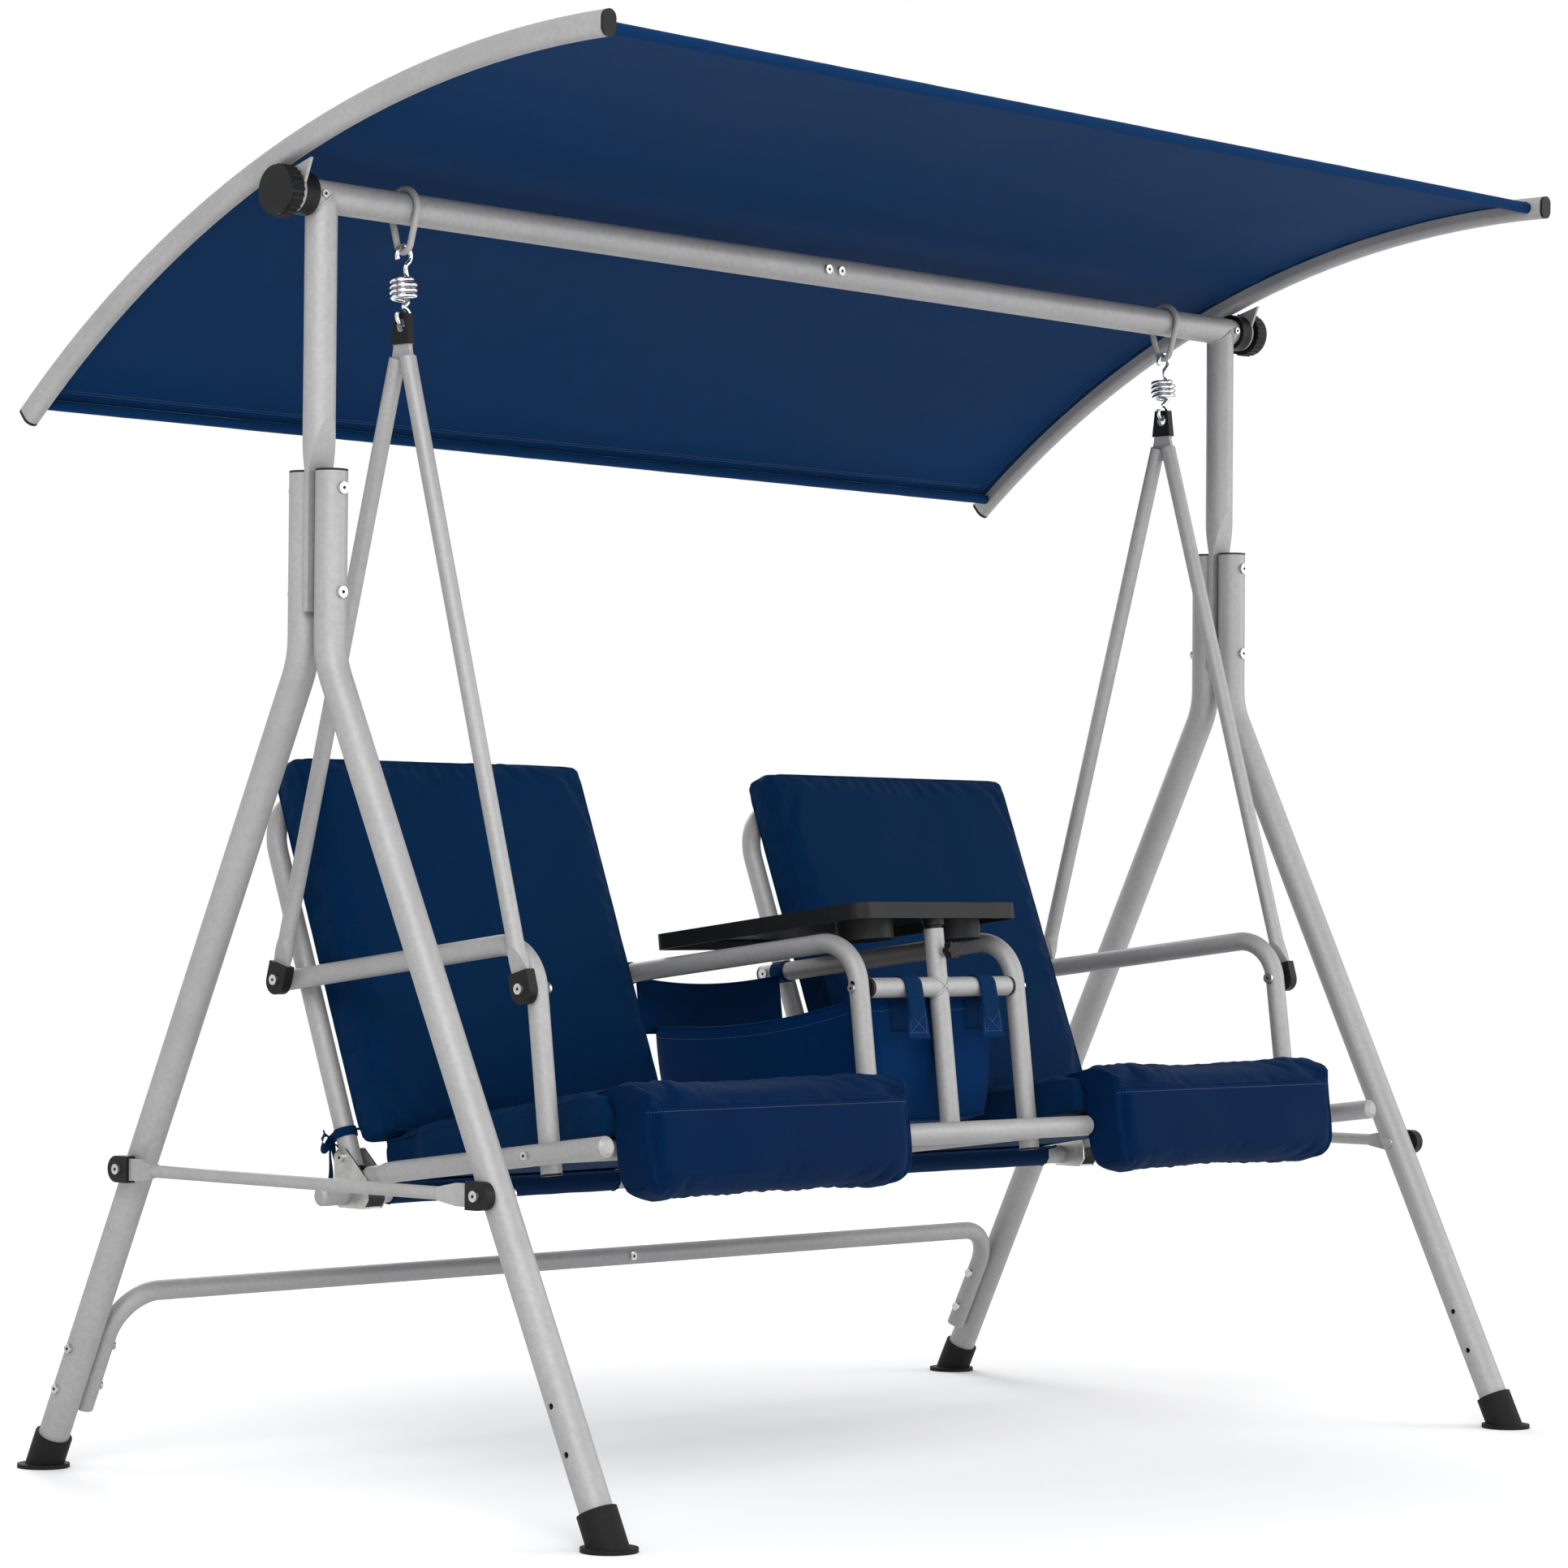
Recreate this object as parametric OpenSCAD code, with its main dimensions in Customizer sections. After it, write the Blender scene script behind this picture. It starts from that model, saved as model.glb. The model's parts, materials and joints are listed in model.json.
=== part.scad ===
// Two-seat patio glider swing with tilting canopy, sprung hangers,
// padded seats, a storage bag and a pivoting centre table.

/* [Main frame] */
// Distance between the two leg planes
frame_w = 1680; // [1500:10:1900]
// Distance between front and rear foot centres
foot_spread = 990; // [800:10:1200]
// Height of the top crossbar axis
crossbar_z = 1512; // [1400:1:1700]
// Radius of the leg, upright and crossbar tubes
leg_r = 19; // [16:0.5:25]
// Wall thickness of the large tubes
leg_wall = 1.5; // [1:0.1:3]
// Half gap between the vertical leg tops
leg_gap = 4; // [3:0.5:8]
// Height of the leg tops
leg_top_z = 1192; // [1100:1:1300]
// Height of the leg bend
leg_bend_z = 976; // [900:1:1050]
// Radius of the foot cap flange
foot_flange_r = 32; // [25:1:45]

/* [Canopy] */
// Half distance between the canopy side bars
canopy_x = 885; // [870:1:920]
// Radius of the canopy arc
canopy_r = 1515; // [1200:5:2000]
// Angle of the canopy arc
canopy_angle = 41.2; // [30:0.1:60]
// Height of the canopy side bar section
canopy_bar_h = 30; // [20:1:40]
// Width of the canopy side bar section
canopy_bar_w = 20; // [14:1:30]
// Radius of the knurled canopy knobs
knob_r = 29; // [20:1:40]

/* [Hangers] */
// Half distance between the hanger planes
hanger_x = 712; // [650:1:760]
// Height of the swing axis
swing_z = 1473; // [1400:1:1500]
// Radius of the hanger arm tubes
arm_r = 10; // [8:0.5:14]
// Radius of the spring coils
coil_r = 14.5; // [10:0.5:20]
// Radius of the spring wire
wire_r = 3; // [2:0.1:5]
// Number of spring coils
coil_count = 4; // [3:1:8]

/* [Seat unit] */
// Backward tilt of the seat frame
seat_tilt = 7.2; // [0:0.1:15]
// Lean of the seat backs
back_lean = 21; // [10:0.1:30]
// Radius of the seat unit tubes
tube_r = 12.5; // [10:0.5:16]
// Wall thickness of the seat unit tubes
tube_wall = 1.5; // [1:0.1:3]
// Distance from the middle to each seat centre
seat_x = 419; // [350:1:500]
// Half distance between the side tubes of one seat
side_half = 298; // [250:1:350]
// Half distance between the back frame legs of one seat
back_half = 246; // [200:1:300]
// Height of the armrests above the seat frame
arm_n = 246; // [200:1:300]
// Distance of the armrest legs from the rear of the seat frame
arm_f = 334; // [280:1:380]
// Length of the back frame
back_u = 465; // [400:1:560]
// Width of the cushions
cushion_w = 480; // [400:1:520]
// Thickness of the cushions
cushion_t = 46; // [30:1:70]

/* [Table] */
// Width of the table tray
tray_w = 300; // [240:1:340]
// Length of the table tray
tray_l = 364; // [300:1:420]
// Inner radius of the cup holders
cup_r = 34; // [28:1:40]
// Height of the tray underside above the seat frame
tray_n = 270; // [262:1:320]

/* [Hidden] */
$fn = 64;
leg_y = leg_r + leg_gap;
foot_y = foot_spread / 2;
leg_x = frame_w / 2;
splay = atan((foot_y - leg_y) / leg_bend_z);
leg_bend_r = 110;
leg_in = leg_r - leg_wall;
tube_in = tube_r - tube_wall;
seat_y0 = 90;
seat_z0 = 368;
back_y0 = 131;
back_z0 = 389;
rear_f = -40.5;
rear_n = -18.3;
bar_f = 368;
console_f = 398;
arm_bend_r = 56;
crossbar_end = 862;
sleeve_x = 38;
loop_wire = 4;
loop_top_r = leg_r + loop_wire + 0.1;
loop_low_r = 12;
loop_pin_z = swing_z - loop_low_r;
hook_r = 11;
hook_z = swing_z - loop_low_r + loop_wire + 0.3 + wire_r - hook_r;
low_hook_r = 10;
plate_hole_z = 1374;
plate_hole_r = 6;
low_hook_z = plate_hole_z + 1.7 + low_hook_r;
canopy_mid_y = -491;
canopy_mid_z = 129;
canopy_start = 49.8;
sheet_r = canopy_r + 6;
cap_gap = 0.05;
post_top = 258;
cross_n = 185;
knob_n = 228;
hole_gap = 0.1;
bolt_r = 4;
bolt_head_r = 7;
joint_bolt_r = 3.5;
joint_head_r = 6;
thin_bolt_r = 3;
thin_head_r = 5.5;
screw_r = 2.5;
pivot_r = 6;
pivot_head_r = 10;
ratchet_r = 25;
end_screw_x = 852;
side_front_f = 452;
rear_half = 714;
console_half = 186;
flat_r = 13;
flat_t = 5;
arm_wall = 1.5;

silver = [0.72, 0.73, 0.74];
navy = [0.05, 0.13, 0.26];
black = [0.05, 0.05, 0.05];
zinc = [0.7, 0.7, 0.7];
chrome = [0.8, 0.8, 0.82];

// ---- helpers ----

module ring2d(r, wall) {
    difference() {
        circle(r);
        circle(r - wall);
    }
}

module pipe(l, r, wall) {
    linear_extrude(l) ring2d(r, wall);
}

module elbow(bend, r, wall, angle) {
    rotate_extrude(angle = angle) translate([bend, 0]) ring2d(r, wall);
}

module along(p, q) {
    d = q - p;
    l = norm(d);
    translate(p) rotate([0, acos(d[2] / l), atan2(d[1], d[0])]) children();
}

module rod(p, q, r) {
    along(p, q) cylinder(h = norm(q - p), r = r);
}

module along_x(x, y, z) {
    translate([x, y, z]) rotate([0, 90, 0]) children();
}

module along_y(x, y, z) {
    translate([x, y, z]) rotate([-90, 0, 0]) children();
}

module yz_plate(x0, t) {
    translate([x0, 0, 0]) rotate([90, 0, 90]) linear_extrude(t) children();
}

module both_sides() {
    children();
    mirror([1, 0, 0]) children();
}

module seat_space() {
    translate([0, seat_y0, seat_z0]) rotate([-seat_tilt, 0, 0]) children();
}

module back_space() {
    translate([0, back_y0, back_z0]) rotate([-back_lean, 0, 0]) children();
}

module seats() {
    for (x = [-seat_x, seat_x]) {
        translate([x, 0, 0]) children();
    }
}

module through_bolt(l, r, head_r) {
    cylinder(h = l, r = r);
    translate([0, 0, -3.5]) cylinder(h = 3.5, r = head_r);
    translate([0, 0, l]) cylinder(h = 4, r = head_r * 0.9);
}

function seat_y(f, n) = seat_y0 - f * cos(seat_tilt) + n * sin(seat_tilt);
function seat_z(f, n) = seat_z0 + f * sin(seat_tilt) + n * cos(seat_tilt);
function leg_line_y(z) = foot_y - z * tan(splay);

// ---- main frame ----

leg_bolt_z = [1172, 1052];
brace_z = 374;
brace_y = leg_line_y(brace_z);
rear_bolt_s = [112, 168];

// One rear leg in the YZ plane; the front one is its mirror image.
module leg(x) {
    t = leg_bend_r * tan(splay / 2);
    difference() {
        translate([x, leg_y, leg_bend_z + t]) {
            pipe(leg_top_z - leg_bend_z - t, leg_r, leg_wall);
            translate([0, leg_bend_r, 0]) {
                rotate([-90, 0, -90]) elbow(leg_bend_r, leg_r, leg_wall, splay);
                rotate([splay, 0, 0]) translate([0, -leg_bend_r, 0]) rotate([180, 0, 0])
                    pipe(leg_bend_z / cos(splay) - t - 18, leg_r, leg_wall);
            }
        }
        for (z = leg_bolt_z) {
            along_y(x, -10, z) cylinder(h = 120, r = bolt_r + hole_gap);
        }
        along_x(x - 40, brace_y, brace_z) cylinder(h = 80, r = bolt_r + hole_gap);
        for (s = rear_bolt_s) {
            along_x(x - 40, foot_y - s * sin(splay), s * cos(splay))
                cylinder(h = 80, r = joint_bolt_r + hole_gap);
        }
    }
}

module leg_rear_left() {
    color(silver) leg(-leg_x);
}

module leg_rear_right() {
    color(silver) leg(leg_x);
}

module leg_front_left() {
    color(silver) mirror([0, 1, 0]) leg(-leg_x);
}

module leg_front_right() {
    color(silver) mirror([0, 1, 0]) leg(leg_x);
}

blade_top = leg_top_z + 3;
blade_low = 1030;
taper_h = 64;
blade_half = leg_gap - 0.1;

module upright(x) {
    difference() {
        union() {
            translate([x, 0, blade_top + taper_h])
                pipe(crossbar_z - blade_top - taper_h, leg_r, leg_wall);
            intersection() {
                translate([x, 0, blade_low])
                    cylinder(h = blade_top + taper_h - blade_low, r = leg_r);
                yz_plate(x - 30, 60) polygon([[-blade_half, blade_low], [blade_half, blade_low],
                    [blade_half, blade_top], [leg_r + 1, blade_top + taper_h + 1],
                    [-leg_r - 1, blade_top + taper_h + 1], [-blade_half, blade_top]]);
            }
        }
        along_x(x - 60, 0, crossbar_z) cylinder(h = 120, r = leg_r + 0.02);
        for (z = leg_bolt_z) {
            along_y(x, -30, z) cylinder(h = 60, r = bolt_r + hole_gap);
        }
    }
}

module upright_left() {
    color(silver) upright(-leg_x);
}

module upright_right() {
    color(silver) upright(leg_x);
}

joint_bolt_x = [0, 24];

module crossbar_left() {
    color(silver) difference() {
        along_x(-crossbar_end, 0, crossbar_z)
            pipe(crossbar_end + sleeve_x, leg_r, leg_wall);
        for (x = joint_bolt_x) {
            along_y(x, -30, crossbar_z) cylinder(h = 60, r = joint_bolt_r + hole_gap);
        }
        along_y(-end_screw_x, -30, crossbar_z) cylinder(h = 60, r = screw_r + hole_gap);
    }
}

module crossbar_right() {
    color(silver) difference() {
        union() {
            along_x(-25, 0, crossbar_z)
                pipe(sleeve_x + 27, leg_in - cap_gap, leg_wall);
            along_x(sleeve_x + 0.1, 0, crossbar_z)
                pipe(2, leg_r, leg_wall * 2);
            along_x(sleeve_x + 2, 0, crossbar_z)
                pipe(crossbar_end - sleeve_x - 2, leg_r, leg_wall);
        }
        for (x = joint_bolt_x) {
            along_y(x, -30, crossbar_z) cylinder(h = 60, r = joint_bolt_r + hole_gap);
        }
        along_y(end_screw_x, -30, crossbar_z) cylinder(h = 60, r = screw_r + hole_gap);
    }
}

module frame_bolts() {
    color(zinc) {
        for (x = [-leg_x, leg_x]) {
            for (z = leg_bolt_z) {
                along_y(x, -leg_y - leg_r - 0.1, z)
                    through_bolt(2 * (leg_y + leg_r) + 0.2, bolt_r, bolt_head_r);
            }
        }
        for (x = joint_bolt_x) {
            along_y(x, -leg_r - 0.2, crossbar_z)
                through_bolt(2 * leg_r + 0.4, joint_bolt_r, joint_head_r);
        }
        for (x = [-end_screw_x, end_screw_x]) {
            along_y(x, -leg_r - 0.2, crossbar_z) {
                cylinder(h = 12, r = 2.5);
                translate([0, 0, -3]) cylinder(h = 3, r = 4.5);
            }
        }
        both_sides() {
            along_x(crossbar_end - 20.1, 0, crossbar_z) cylinder(h = 63.6, r = pivot_r);
            along_x(crossbar_end - 26.1, 0, crossbar_z) cylinder(h = 6, r = pivot_head_r);
            for (m = [0, 1]) {
                mirror([0, m, 0])
                    along_x(leg_x - leg_r - 0.2, brace_y, brace_z)
                        through_bolt(2 * leg_r + 15.4, bolt_r, bolt_head_r);
            }
            for (s = rear_bolt_s) {
                along_x(rear_x - rear_r - 0.1, foot_y - s * sin(splay), s * cos(splay))
                    through_bolt(leg_x + leg_r - rear_x + rear_r + 0.2, joint_bolt_r, joint_head_r);
            }
        }
        along_y(rear_joint_x, rear_run_y - rear_r - 0.1, rear_run_z)
            through_bolt(2 * rear_r + 0.2, thin_bolt_r, thin_head_r);
    }
}

module leg_plugs() {
    color(black) for (x = [-leg_x, leg_x]) {
        for (y = [-leg_y, leg_y]) {
            translate([x, y, leg_top_z]) cylinder(h = 2.5, r = leg_r);
            translate([x, y, leg_top_z - 9.5]) cylinder(h = 9.6, r = leg_in - cap_gap);
        }
    }
}

module foot_cap() {
    difference() {
        union() {
            cylinder(h = 5, r = foot_flange_r);
            intersection() {
                rotate([splay, 0, 0]) translate([0, 0, -30])
                    cylinder(h = 76, r = leg_r + 4);
                translate([-50, -60, 0]) cube([100, 120, 90]);
            }
        }
        intersection() {
            rotate([splay, 0, 0]) translate([0, 0, -30])
                cylinder(h = 200, r = leg_r + cap_gap);
            translate([-50, -90, 7.5]) cube([100, 180, 190]);
        }
    }
}

module foot_caps() {
    color(black) for (x = [-leg_x, leg_x]) {
        translate([x, foot_y, 0]) foot_cap();
        translate([x, -foot_y, 0]) mirror([0, 1, 0]) foot_cap();
    }
}

// Side brace: tube along Y outside the legs with flattened ends.
brace_x = leg_x + leg_r + 8.5;
brace_r = 7.5;

module brace_right() {
    color(silver) difference() {
        union() {
            along_y(brace_x, -brace_y + 62, brace_z)
                pipe(2 * brace_y - 124, brace_r, arm_wall);
            for (m = [0, 1]) {
                mirror([0, m, 0]) {
                    along_y(brace_x, brace_y - 62, brace_z) intersection() {
                        rotate([0, 90, 0]) translate([0, 0, -20]) linear_extrude(40)
                            polygon([[0, -brace_r], [0, brace_r], [-26, flat_r], [-26, -flat_r]]);
                        translate([0, 20, 0]) rotate([90, 0, 0]) linear_extrude(40)
                            polygon([[-brace_r, 0], [brace_r, 0], [flat_t / 2, 26],
                                [-flat_t / 2, 26]]);
                    }
                    translate([brace_x - flat_t / 2, brace_y - 36.2, brace_z - flat_r])
                        cube([flat_t, 36.2, 2 * flat_r]);
                    along_x(brace_x - flat_t / 2, brace_y, brace_z)
                        cylinder(h = flat_t, r = flat_r);
                }
            }
        }
        for (y = [-brace_y, brace_y]) {
            along_x(brace_x - 20, y, brace_z) cylinder(h = 40, r = bolt_r + hole_gap);
        }
    }
}

module brace_left() {
    mirror([1, 0, 0]) brace_right();
}

// Plastic covers on the flattened brace ends
module brace_covers() {
    color(black) both_sides() {
        for (m = [0, 1]) {
            mirror([0, m, 0]) difference() {
                union() {
                    translate([brace_x - 6.5, brace_y - 17, brace_z - 16]) cube([13, 20, 32]);
                    along_x(brace_x - 6.5, brace_y + 3, brace_z) cylinder(h = 13, r = 16);
                }
                translate([brace_x - 2.6, brace_y - 40, brace_z - 13.2]) cube([5.2, 42, 26.4]);
                along_x(brace_x - 2.6, brace_y, brace_z) cylinder(h = 5.2, r = 13.2);
                along_x(brace_x - 20, brace_y, brace_z) cylinder(h = 40, r = bolt_r + hole_gap);
            }
        }
    }
}

// Rear lower bar: ends follow the rear legs, then bend inwards.
rear_r = tube_r;
rear_x = leg_x - leg_r - rear_r - 0.5;
rear_s = 242;
rear_low_s = 82;
rear_bend = 60;
rear_joint_x = 54;
rear_run_y = foot_y - rear_s * sin(splay);
rear_run_z = rear_s * cos(splay);

module rear_space() {
    translate([0, foot_y, 0]) rotate([splay, 0, 0]) children();
}

module rear_bar_end() {
    translate([rear_x, 0, rear_low_s])
        pipe(rear_s - rear_low_s - rear_bend, rear_r, tube_wall);
    translate([rear_x - rear_bend, 0, rear_s - rear_bend]) rotate([90, 0, 0])
        elbow(rear_bend, rear_r, tube_wall, 90);
}

module rear_bolt_holes() {
    for (s = rear_bolt_s) {
        translate([rear_x - 30, 0, s]) rotate([0, 90, 0]) cylinder(h = 60, r = joint_bolt_r + hole_gap);
    }
}

module rear_bar_left() {
    color(silver) difference() {
        rear_space() mirror([1, 0, 0]) difference() {
            union() {
                rear_bar_end();
                along_x(-rear_joint_x - 22, 0, rear_s)
                    pipe(rear_x - rear_bend + rear_joint_x + 22, rear_r, tube_wall);
            }
            rear_bolt_holes();
        }
        along_y(rear_joint_x, rear_run_y - 30, rear_run_z)
            cylinder(h = 60, r = thin_bolt_r + hole_gap);
    }
}

module rear_bar_right() {
    color(silver) difference() {
        rear_space() difference() {
            union() {
                rear_bar_end();
                along_x(rear_joint_x + 22.1, 0, rear_s)
                    pipe(rear_x - rear_bend - rear_joint_x - 22.1, rear_r, tube_wall);
                along_x(rear_joint_x + 22.1, 0, rear_s) pipe(3, rear_r - 0.4, tube_wall * 2);
                along_x(rear_joint_x - 26, 0, rear_s)
                    pipe(50, rear_r - tube_wall - cap_gap, tube_wall);
            }
            rear_bolt_holes();
        }
        along_y(rear_joint_x, rear_run_y - 30, rear_run_z)
            cylinder(h = 60, r = thin_bolt_r + hole_gap);
    }
}

// Welded wire loops that carry the springs
module hanger_loop() {
    drop = crossbar_z - swing_z;
    beta = asin((loop_top_r - loop_low_r) / drop);
    run = drop * cos(beta);
    rotate([90, 0, 90]) {
        translate([0, drop, 0]) rotate([0, 0, -beta]) {
            rotate_extrude(angle = 180 + 2 * beta) translate([loop_top_r, 0]) circle(loop_wire);
            translate([loop_top_r, 0, 0]) rotate([90, 0, 0]) cylinder(h = run, r = loop_wire);
        }
        translate([0, drop, 0]) rotate([0, 0, beta]) translate([-loop_top_r, 0, 0])
            rotate([90, 0, 0]) cylinder(h = run, r = loop_wire);
        rotate([0, 0, 180 + beta]) rotate_extrude(angle = 180 - 2 * beta)
            translate([loop_low_r, 0]) circle(loop_wire);
    }
}

module hanger_loops() {
    color(silver) for (x = [-hanger_x, hanger_x]) {
        translate([x, 0, swing_z]) hanger_loop();
    }
}

module ratchet_disc(r, t, bore) {
    difference() {
        cylinder(h = t, r = r);
        translate([0, 0, -1]) cylinder(h = t + 2, r = bore);
    }
}

module fixed_ratchets() {
    color(black) both_sides() difference() {
        union() {
            along_x(crossbar_end + 0.1, 0, crossbar_z) ratchet_disc(ratchet_r, 9.7, pivot_r + hole_gap);
            along_x(crossbar_end - 20, 0, crossbar_z)
                ratchet_disc(leg_in - cap_gap, 20.2, pivot_r + hole_gap);
        }
        along_y(end_screw_x, -30, crossbar_z) cylinder(h = 26, r = screw_r + hole_gap);
    }
}

// ---- canopy ----

module bar_section() {
    translate([-canopy_bar_w / 2, -canopy_bar_h / 2 + canopy_bar_w / 2])
        square([canopy_bar_w, canopy_bar_h - canopy_bar_w]);
    for (s = [-1, 1]) {
        translate([0, s * (canopy_bar_h - canopy_bar_w) / 2]) circle(canopy_bar_w / 2);
    }
}

module bar_void() {
    translate([-canopy_bar_w / 2 + 1.5, -canopy_bar_h / 2 + canopy_bar_w / 2])
        square([canopy_bar_w - 3, canopy_bar_h - canopy_bar_w]);
    for (s = [-1, 1]) {
        translate([0, s * (canopy_bar_h - canopy_bar_w) / 2]) circle(canopy_bar_w / 2 - 1.5);
    }
}

// Places a profile on the canopy arc; the profile's X is outward.
module canopy_sweep(x, start, angle) {
    translate([x, canopy_mid_y, canopy_mid_z]) rotate([90, 0, 90])
        rotate([0, 0, start]) rotate_extrude(angle = angle) children();
}

module canopy_bar(x) {
    canopy_sweep(x, canopy_start, canopy_angle)
        translate([canopy_r, 0]) rotate([0, 0, 90]) difference() {
            bar_section();
            bar_void();
        }
}

module canopy_bar_left() {
    color(silver) canopy_bar(-canopy_x);
}

module canopy_bar_right() {
    color(silver) canopy_bar(canopy_x);
}

bracket_x = crossbar_end + 22;

module canopy_brackets() {
    color(silver) both_sides() {
        difference() {
            yz_plate(bracket_x - 2, 4) {
                translate([0, crossbar_z]) circle(24);
                polygon([[-22, crossbar_z + 8], [22, crossbar_z - 6], [34, crossbar_z + 17],
                    [-34, crossbar_z + 37]]);
            }
            along_x(bracket_x - 20, 0, crossbar_z) cylinder(h = 40, r = pivot_r + hole_gap);
            canopy_sweep(canopy_x, canopy_start + 10, 20)
                translate([canopy_r, 0]) rotate([0, 0, 90]) bar_section();
        }
    }
}

module canopy_ratchets() {
    color(black) both_sides() {
        along_x(crossbar_end + 10.2, 0, crossbar_z) ratchet_disc(ratchet_r, 9.6, pivot_r + hole_gap);
    }
}

module canopy_plugs() {
    color(black) for (x = [-canopy_x, canopy_x]) {
        canopy_sweep(x, canopy_start - 0.15, 0.14)
            translate([canopy_r, 0]) rotate([0, 0, 90]) bar_section();
        canopy_sweep(x, canopy_start + canopy_angle + 0.01, 0.14)
            translate([canopy_r, 0]) rotate([0, 0, 90]) bar_section();
    }
}

spread_r = 6;
spread_angle = [canopy_start + 0.8, canopy_start + canopy_angle - 0.8];

module on_arc(angle, r) {
    translate([0, canopy_mid_y + r * cos(angle), canopy_mid_z + r * sin(angle)]) children();
}

module canopy_spreaders() {
    color(silver) for (a = spread_angle) {
        on_arc(a, canopy_r) along_x(-canopy_x + 10.1, 0, 0)
            pipe(2 * canopy_x - 20.2, spread_r, 1.2);
    }
}

module canopy_fabric() {
    color(navy) {
        canopy_sweep(-canopy_x + 10.6, spread_angle[0], spread_angle[1] - spread_angle[0])
            translate([canopy_r + spread_r + 0.4, 0]) square([1, 2 * canopy_x - 21.2]);
        for (a = spread_angle) {
            on_arc(a, canopy_r) along_x(-canopy_x + 12, 0, 0)
                pipe(2 * canopy_x - 24, spread_r + 1.6, 1.4);
        }
    }
}

// Knurled clamp knob turning on the pivot bolt
module canopy_knob() {
    ribs = 24;
    along_x(bracket_x + 2.4, 0, crossbar_z) difference() {
        union() {
            cylinder(h = 4, r = 16);
            translate([0, 0, 4]) cylinder(h = 20, r = knob_r);
            for (i = [0:ribs - 1]) {
                rotate([0, 0, i * 360 / ribs]) translate([knob_r, 0, 4]) cylinder(h = 16, r = 1.6);
            }
        }
        translate([0, 0, -1]) cylinder(h = 21, r = 6.05);
    }
}

module knob_right() {
    color(black) canopy_knob();
}

module knob_left() {
    color(black) mirror([1, 0, 0]) canopy_knob();
}

// ---- springs and hangers ----

module xz_ring(z, r, from, angle) {
    translate([0, 0, z]) rotate([90, 0, 0]) rotate([0, 0, from])
        rotate_extrude(angle = angle) translate([r, 0]) circle(wire_r);
}

coil_low = 1406;
coil_pitch = 7.5;
link_r = wire_r * 0.8;

module spring(x) {
    top = coil_low + coil_pitch * (coil_count - 1);
    translate([x, 0, 0]) {
        for (i = [0:coil_count - 1]) {
            translate([0, 0, coil_low + i * coil_pitch]) rotate_extrude()
                translate([coil_r, 0]) circle(wire_r);
        }
        for (i = [0:coil_count - 2]) {
            translate([(i % 2 == 0 ? 1 : -1) * coil_r, 0, coil_low + i * coil_pitch])
                cylinder(h = coil_pitch, r = link_r);
        }
        xz_ring(hook_z, hook_r, -40, 300);
        rod([-coil_r, 0, top], [hook_r * cos(258), 0, hook_z + hook_r * sin(258)], link_r);
        xz_ring(low_hook_z, low_hook_r, 100, 300);
        rod([coil_r, 0, coil_low],
            [low_hook_r * cos(102), 0, low_hook_z + low_hook_r * sin(102)], link_r);
    }
}

module spring_left() {
    color(chrome) spring(-hanger_x);
}

module spring_right() {
    color(chrome) spring(hanger_x);
}

hang_n = 190;
rise = seat_z0 + arm_n * cos(seat_tilt) - back_z0;
hang_f = -(back_y0 - seat_y0 - arm_n * sin(seat_tilt) + rise * tan(back_lean))
    / (cos(seat_tilt) + sin(seat_tilt) * tan(back_lean));
foot_front = [seat_y(arm_f, hang_n), seat_z(arm_f, hang_n)];
foot_rear = [seat_y(hang_f, arm_n), seat_z(hang_f, arm_n)];
arm_top_z = 1330;
arm_top_y = 10.6;

module toward(top_y, p) {
    translate([0, top_y, arm_top_z])
        rotate([-atan2(p[0] - top_y, p[1] - arm_top_z), 0, 0]) children();
}

// Hanger arm from its top joint to the flattened, bolted foot
module hanger_arm(top_y, p) {
    l = norm([p[0] - top_y, p[1] - arm_top_z]);
    toward(top_y, p) {
        translate([0, 0, -6]) pipe(l - 46, arm_r, arm_wall);
        translate([0, 0, l - 52]) intersection() {
            cylinder(h = 30, r1 = arm_r, r2 = flat_r);
            rotate([90, 0, 0]) translate([0, 0, -20]) linear_extrude(40)
                polygon([[-arm_r - 1, -1], [arm_r + 1, -1], [flat_t / 2, 30], [-flat_t / 2, 30]]);
        }
        translate([-flat_t / 2, -flat_r + 0.4, l - 24]) cube([flat_t, 2 * flat_r - 0.8, 24]);
        translate([-flat_t / 2, 0, l]) rotate([0, 90, 0]) cylinder(h = flat_t, r = flat_r);
    }
}

module hanger(x) {
    difference() {
        translate([x, 0, 0]) {
            yz_plate(-3, 6) polygon([[-9, 1386], [9, 1386], [14, 1345], [20, 1322], [0, 1318],
                [-20, 1322], [-14, 1345]]);
            hanger_arm(-arm_top_y, foot_front);
            hanger_arm(arm_top_y, foot_rear);
        }
        along_x(x - 30, 0, plate_hole_z) cylinder(h = 60, r = plate_hole_r);
        along_x(x - 30, foot_front[0], foot_front[1]) cylinder(h = 60, r = bolt_r + hole_gap);
        along_x(x - 30, foot_rear[0], foot_rear[1]) cylinder(h = 60, r = bolt_r + hole_gap);
    }
}

module hanger_left() {
    color(silver) hanger(-hanger_x);
}

module hanger_right() {
    color(silver) hanger(hanger_x);
}

module hanger_sleeves() {
    color(black) for (x = [-hanger_x, hanger_x]) {
        difference() {
            translate([x, 0, 0]) yz_plate(-5, 10)
                polygon([[-11, 1388], [11, 1388], [15.5, 1352], [-15.5, 1352]]);
            translate([x, 0, 0]) yz_plate(-3.1, 6.2)
                polygon([[-9.1, 1386.1], [9.1, 1386.1], [14.1, 1345], [-14.1, 1345]]);
            along_x(x - 30, 0, plate_hole_z) cylinder(h = 60, r = plate_hole_r + 2);
        }
    }
}

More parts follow.
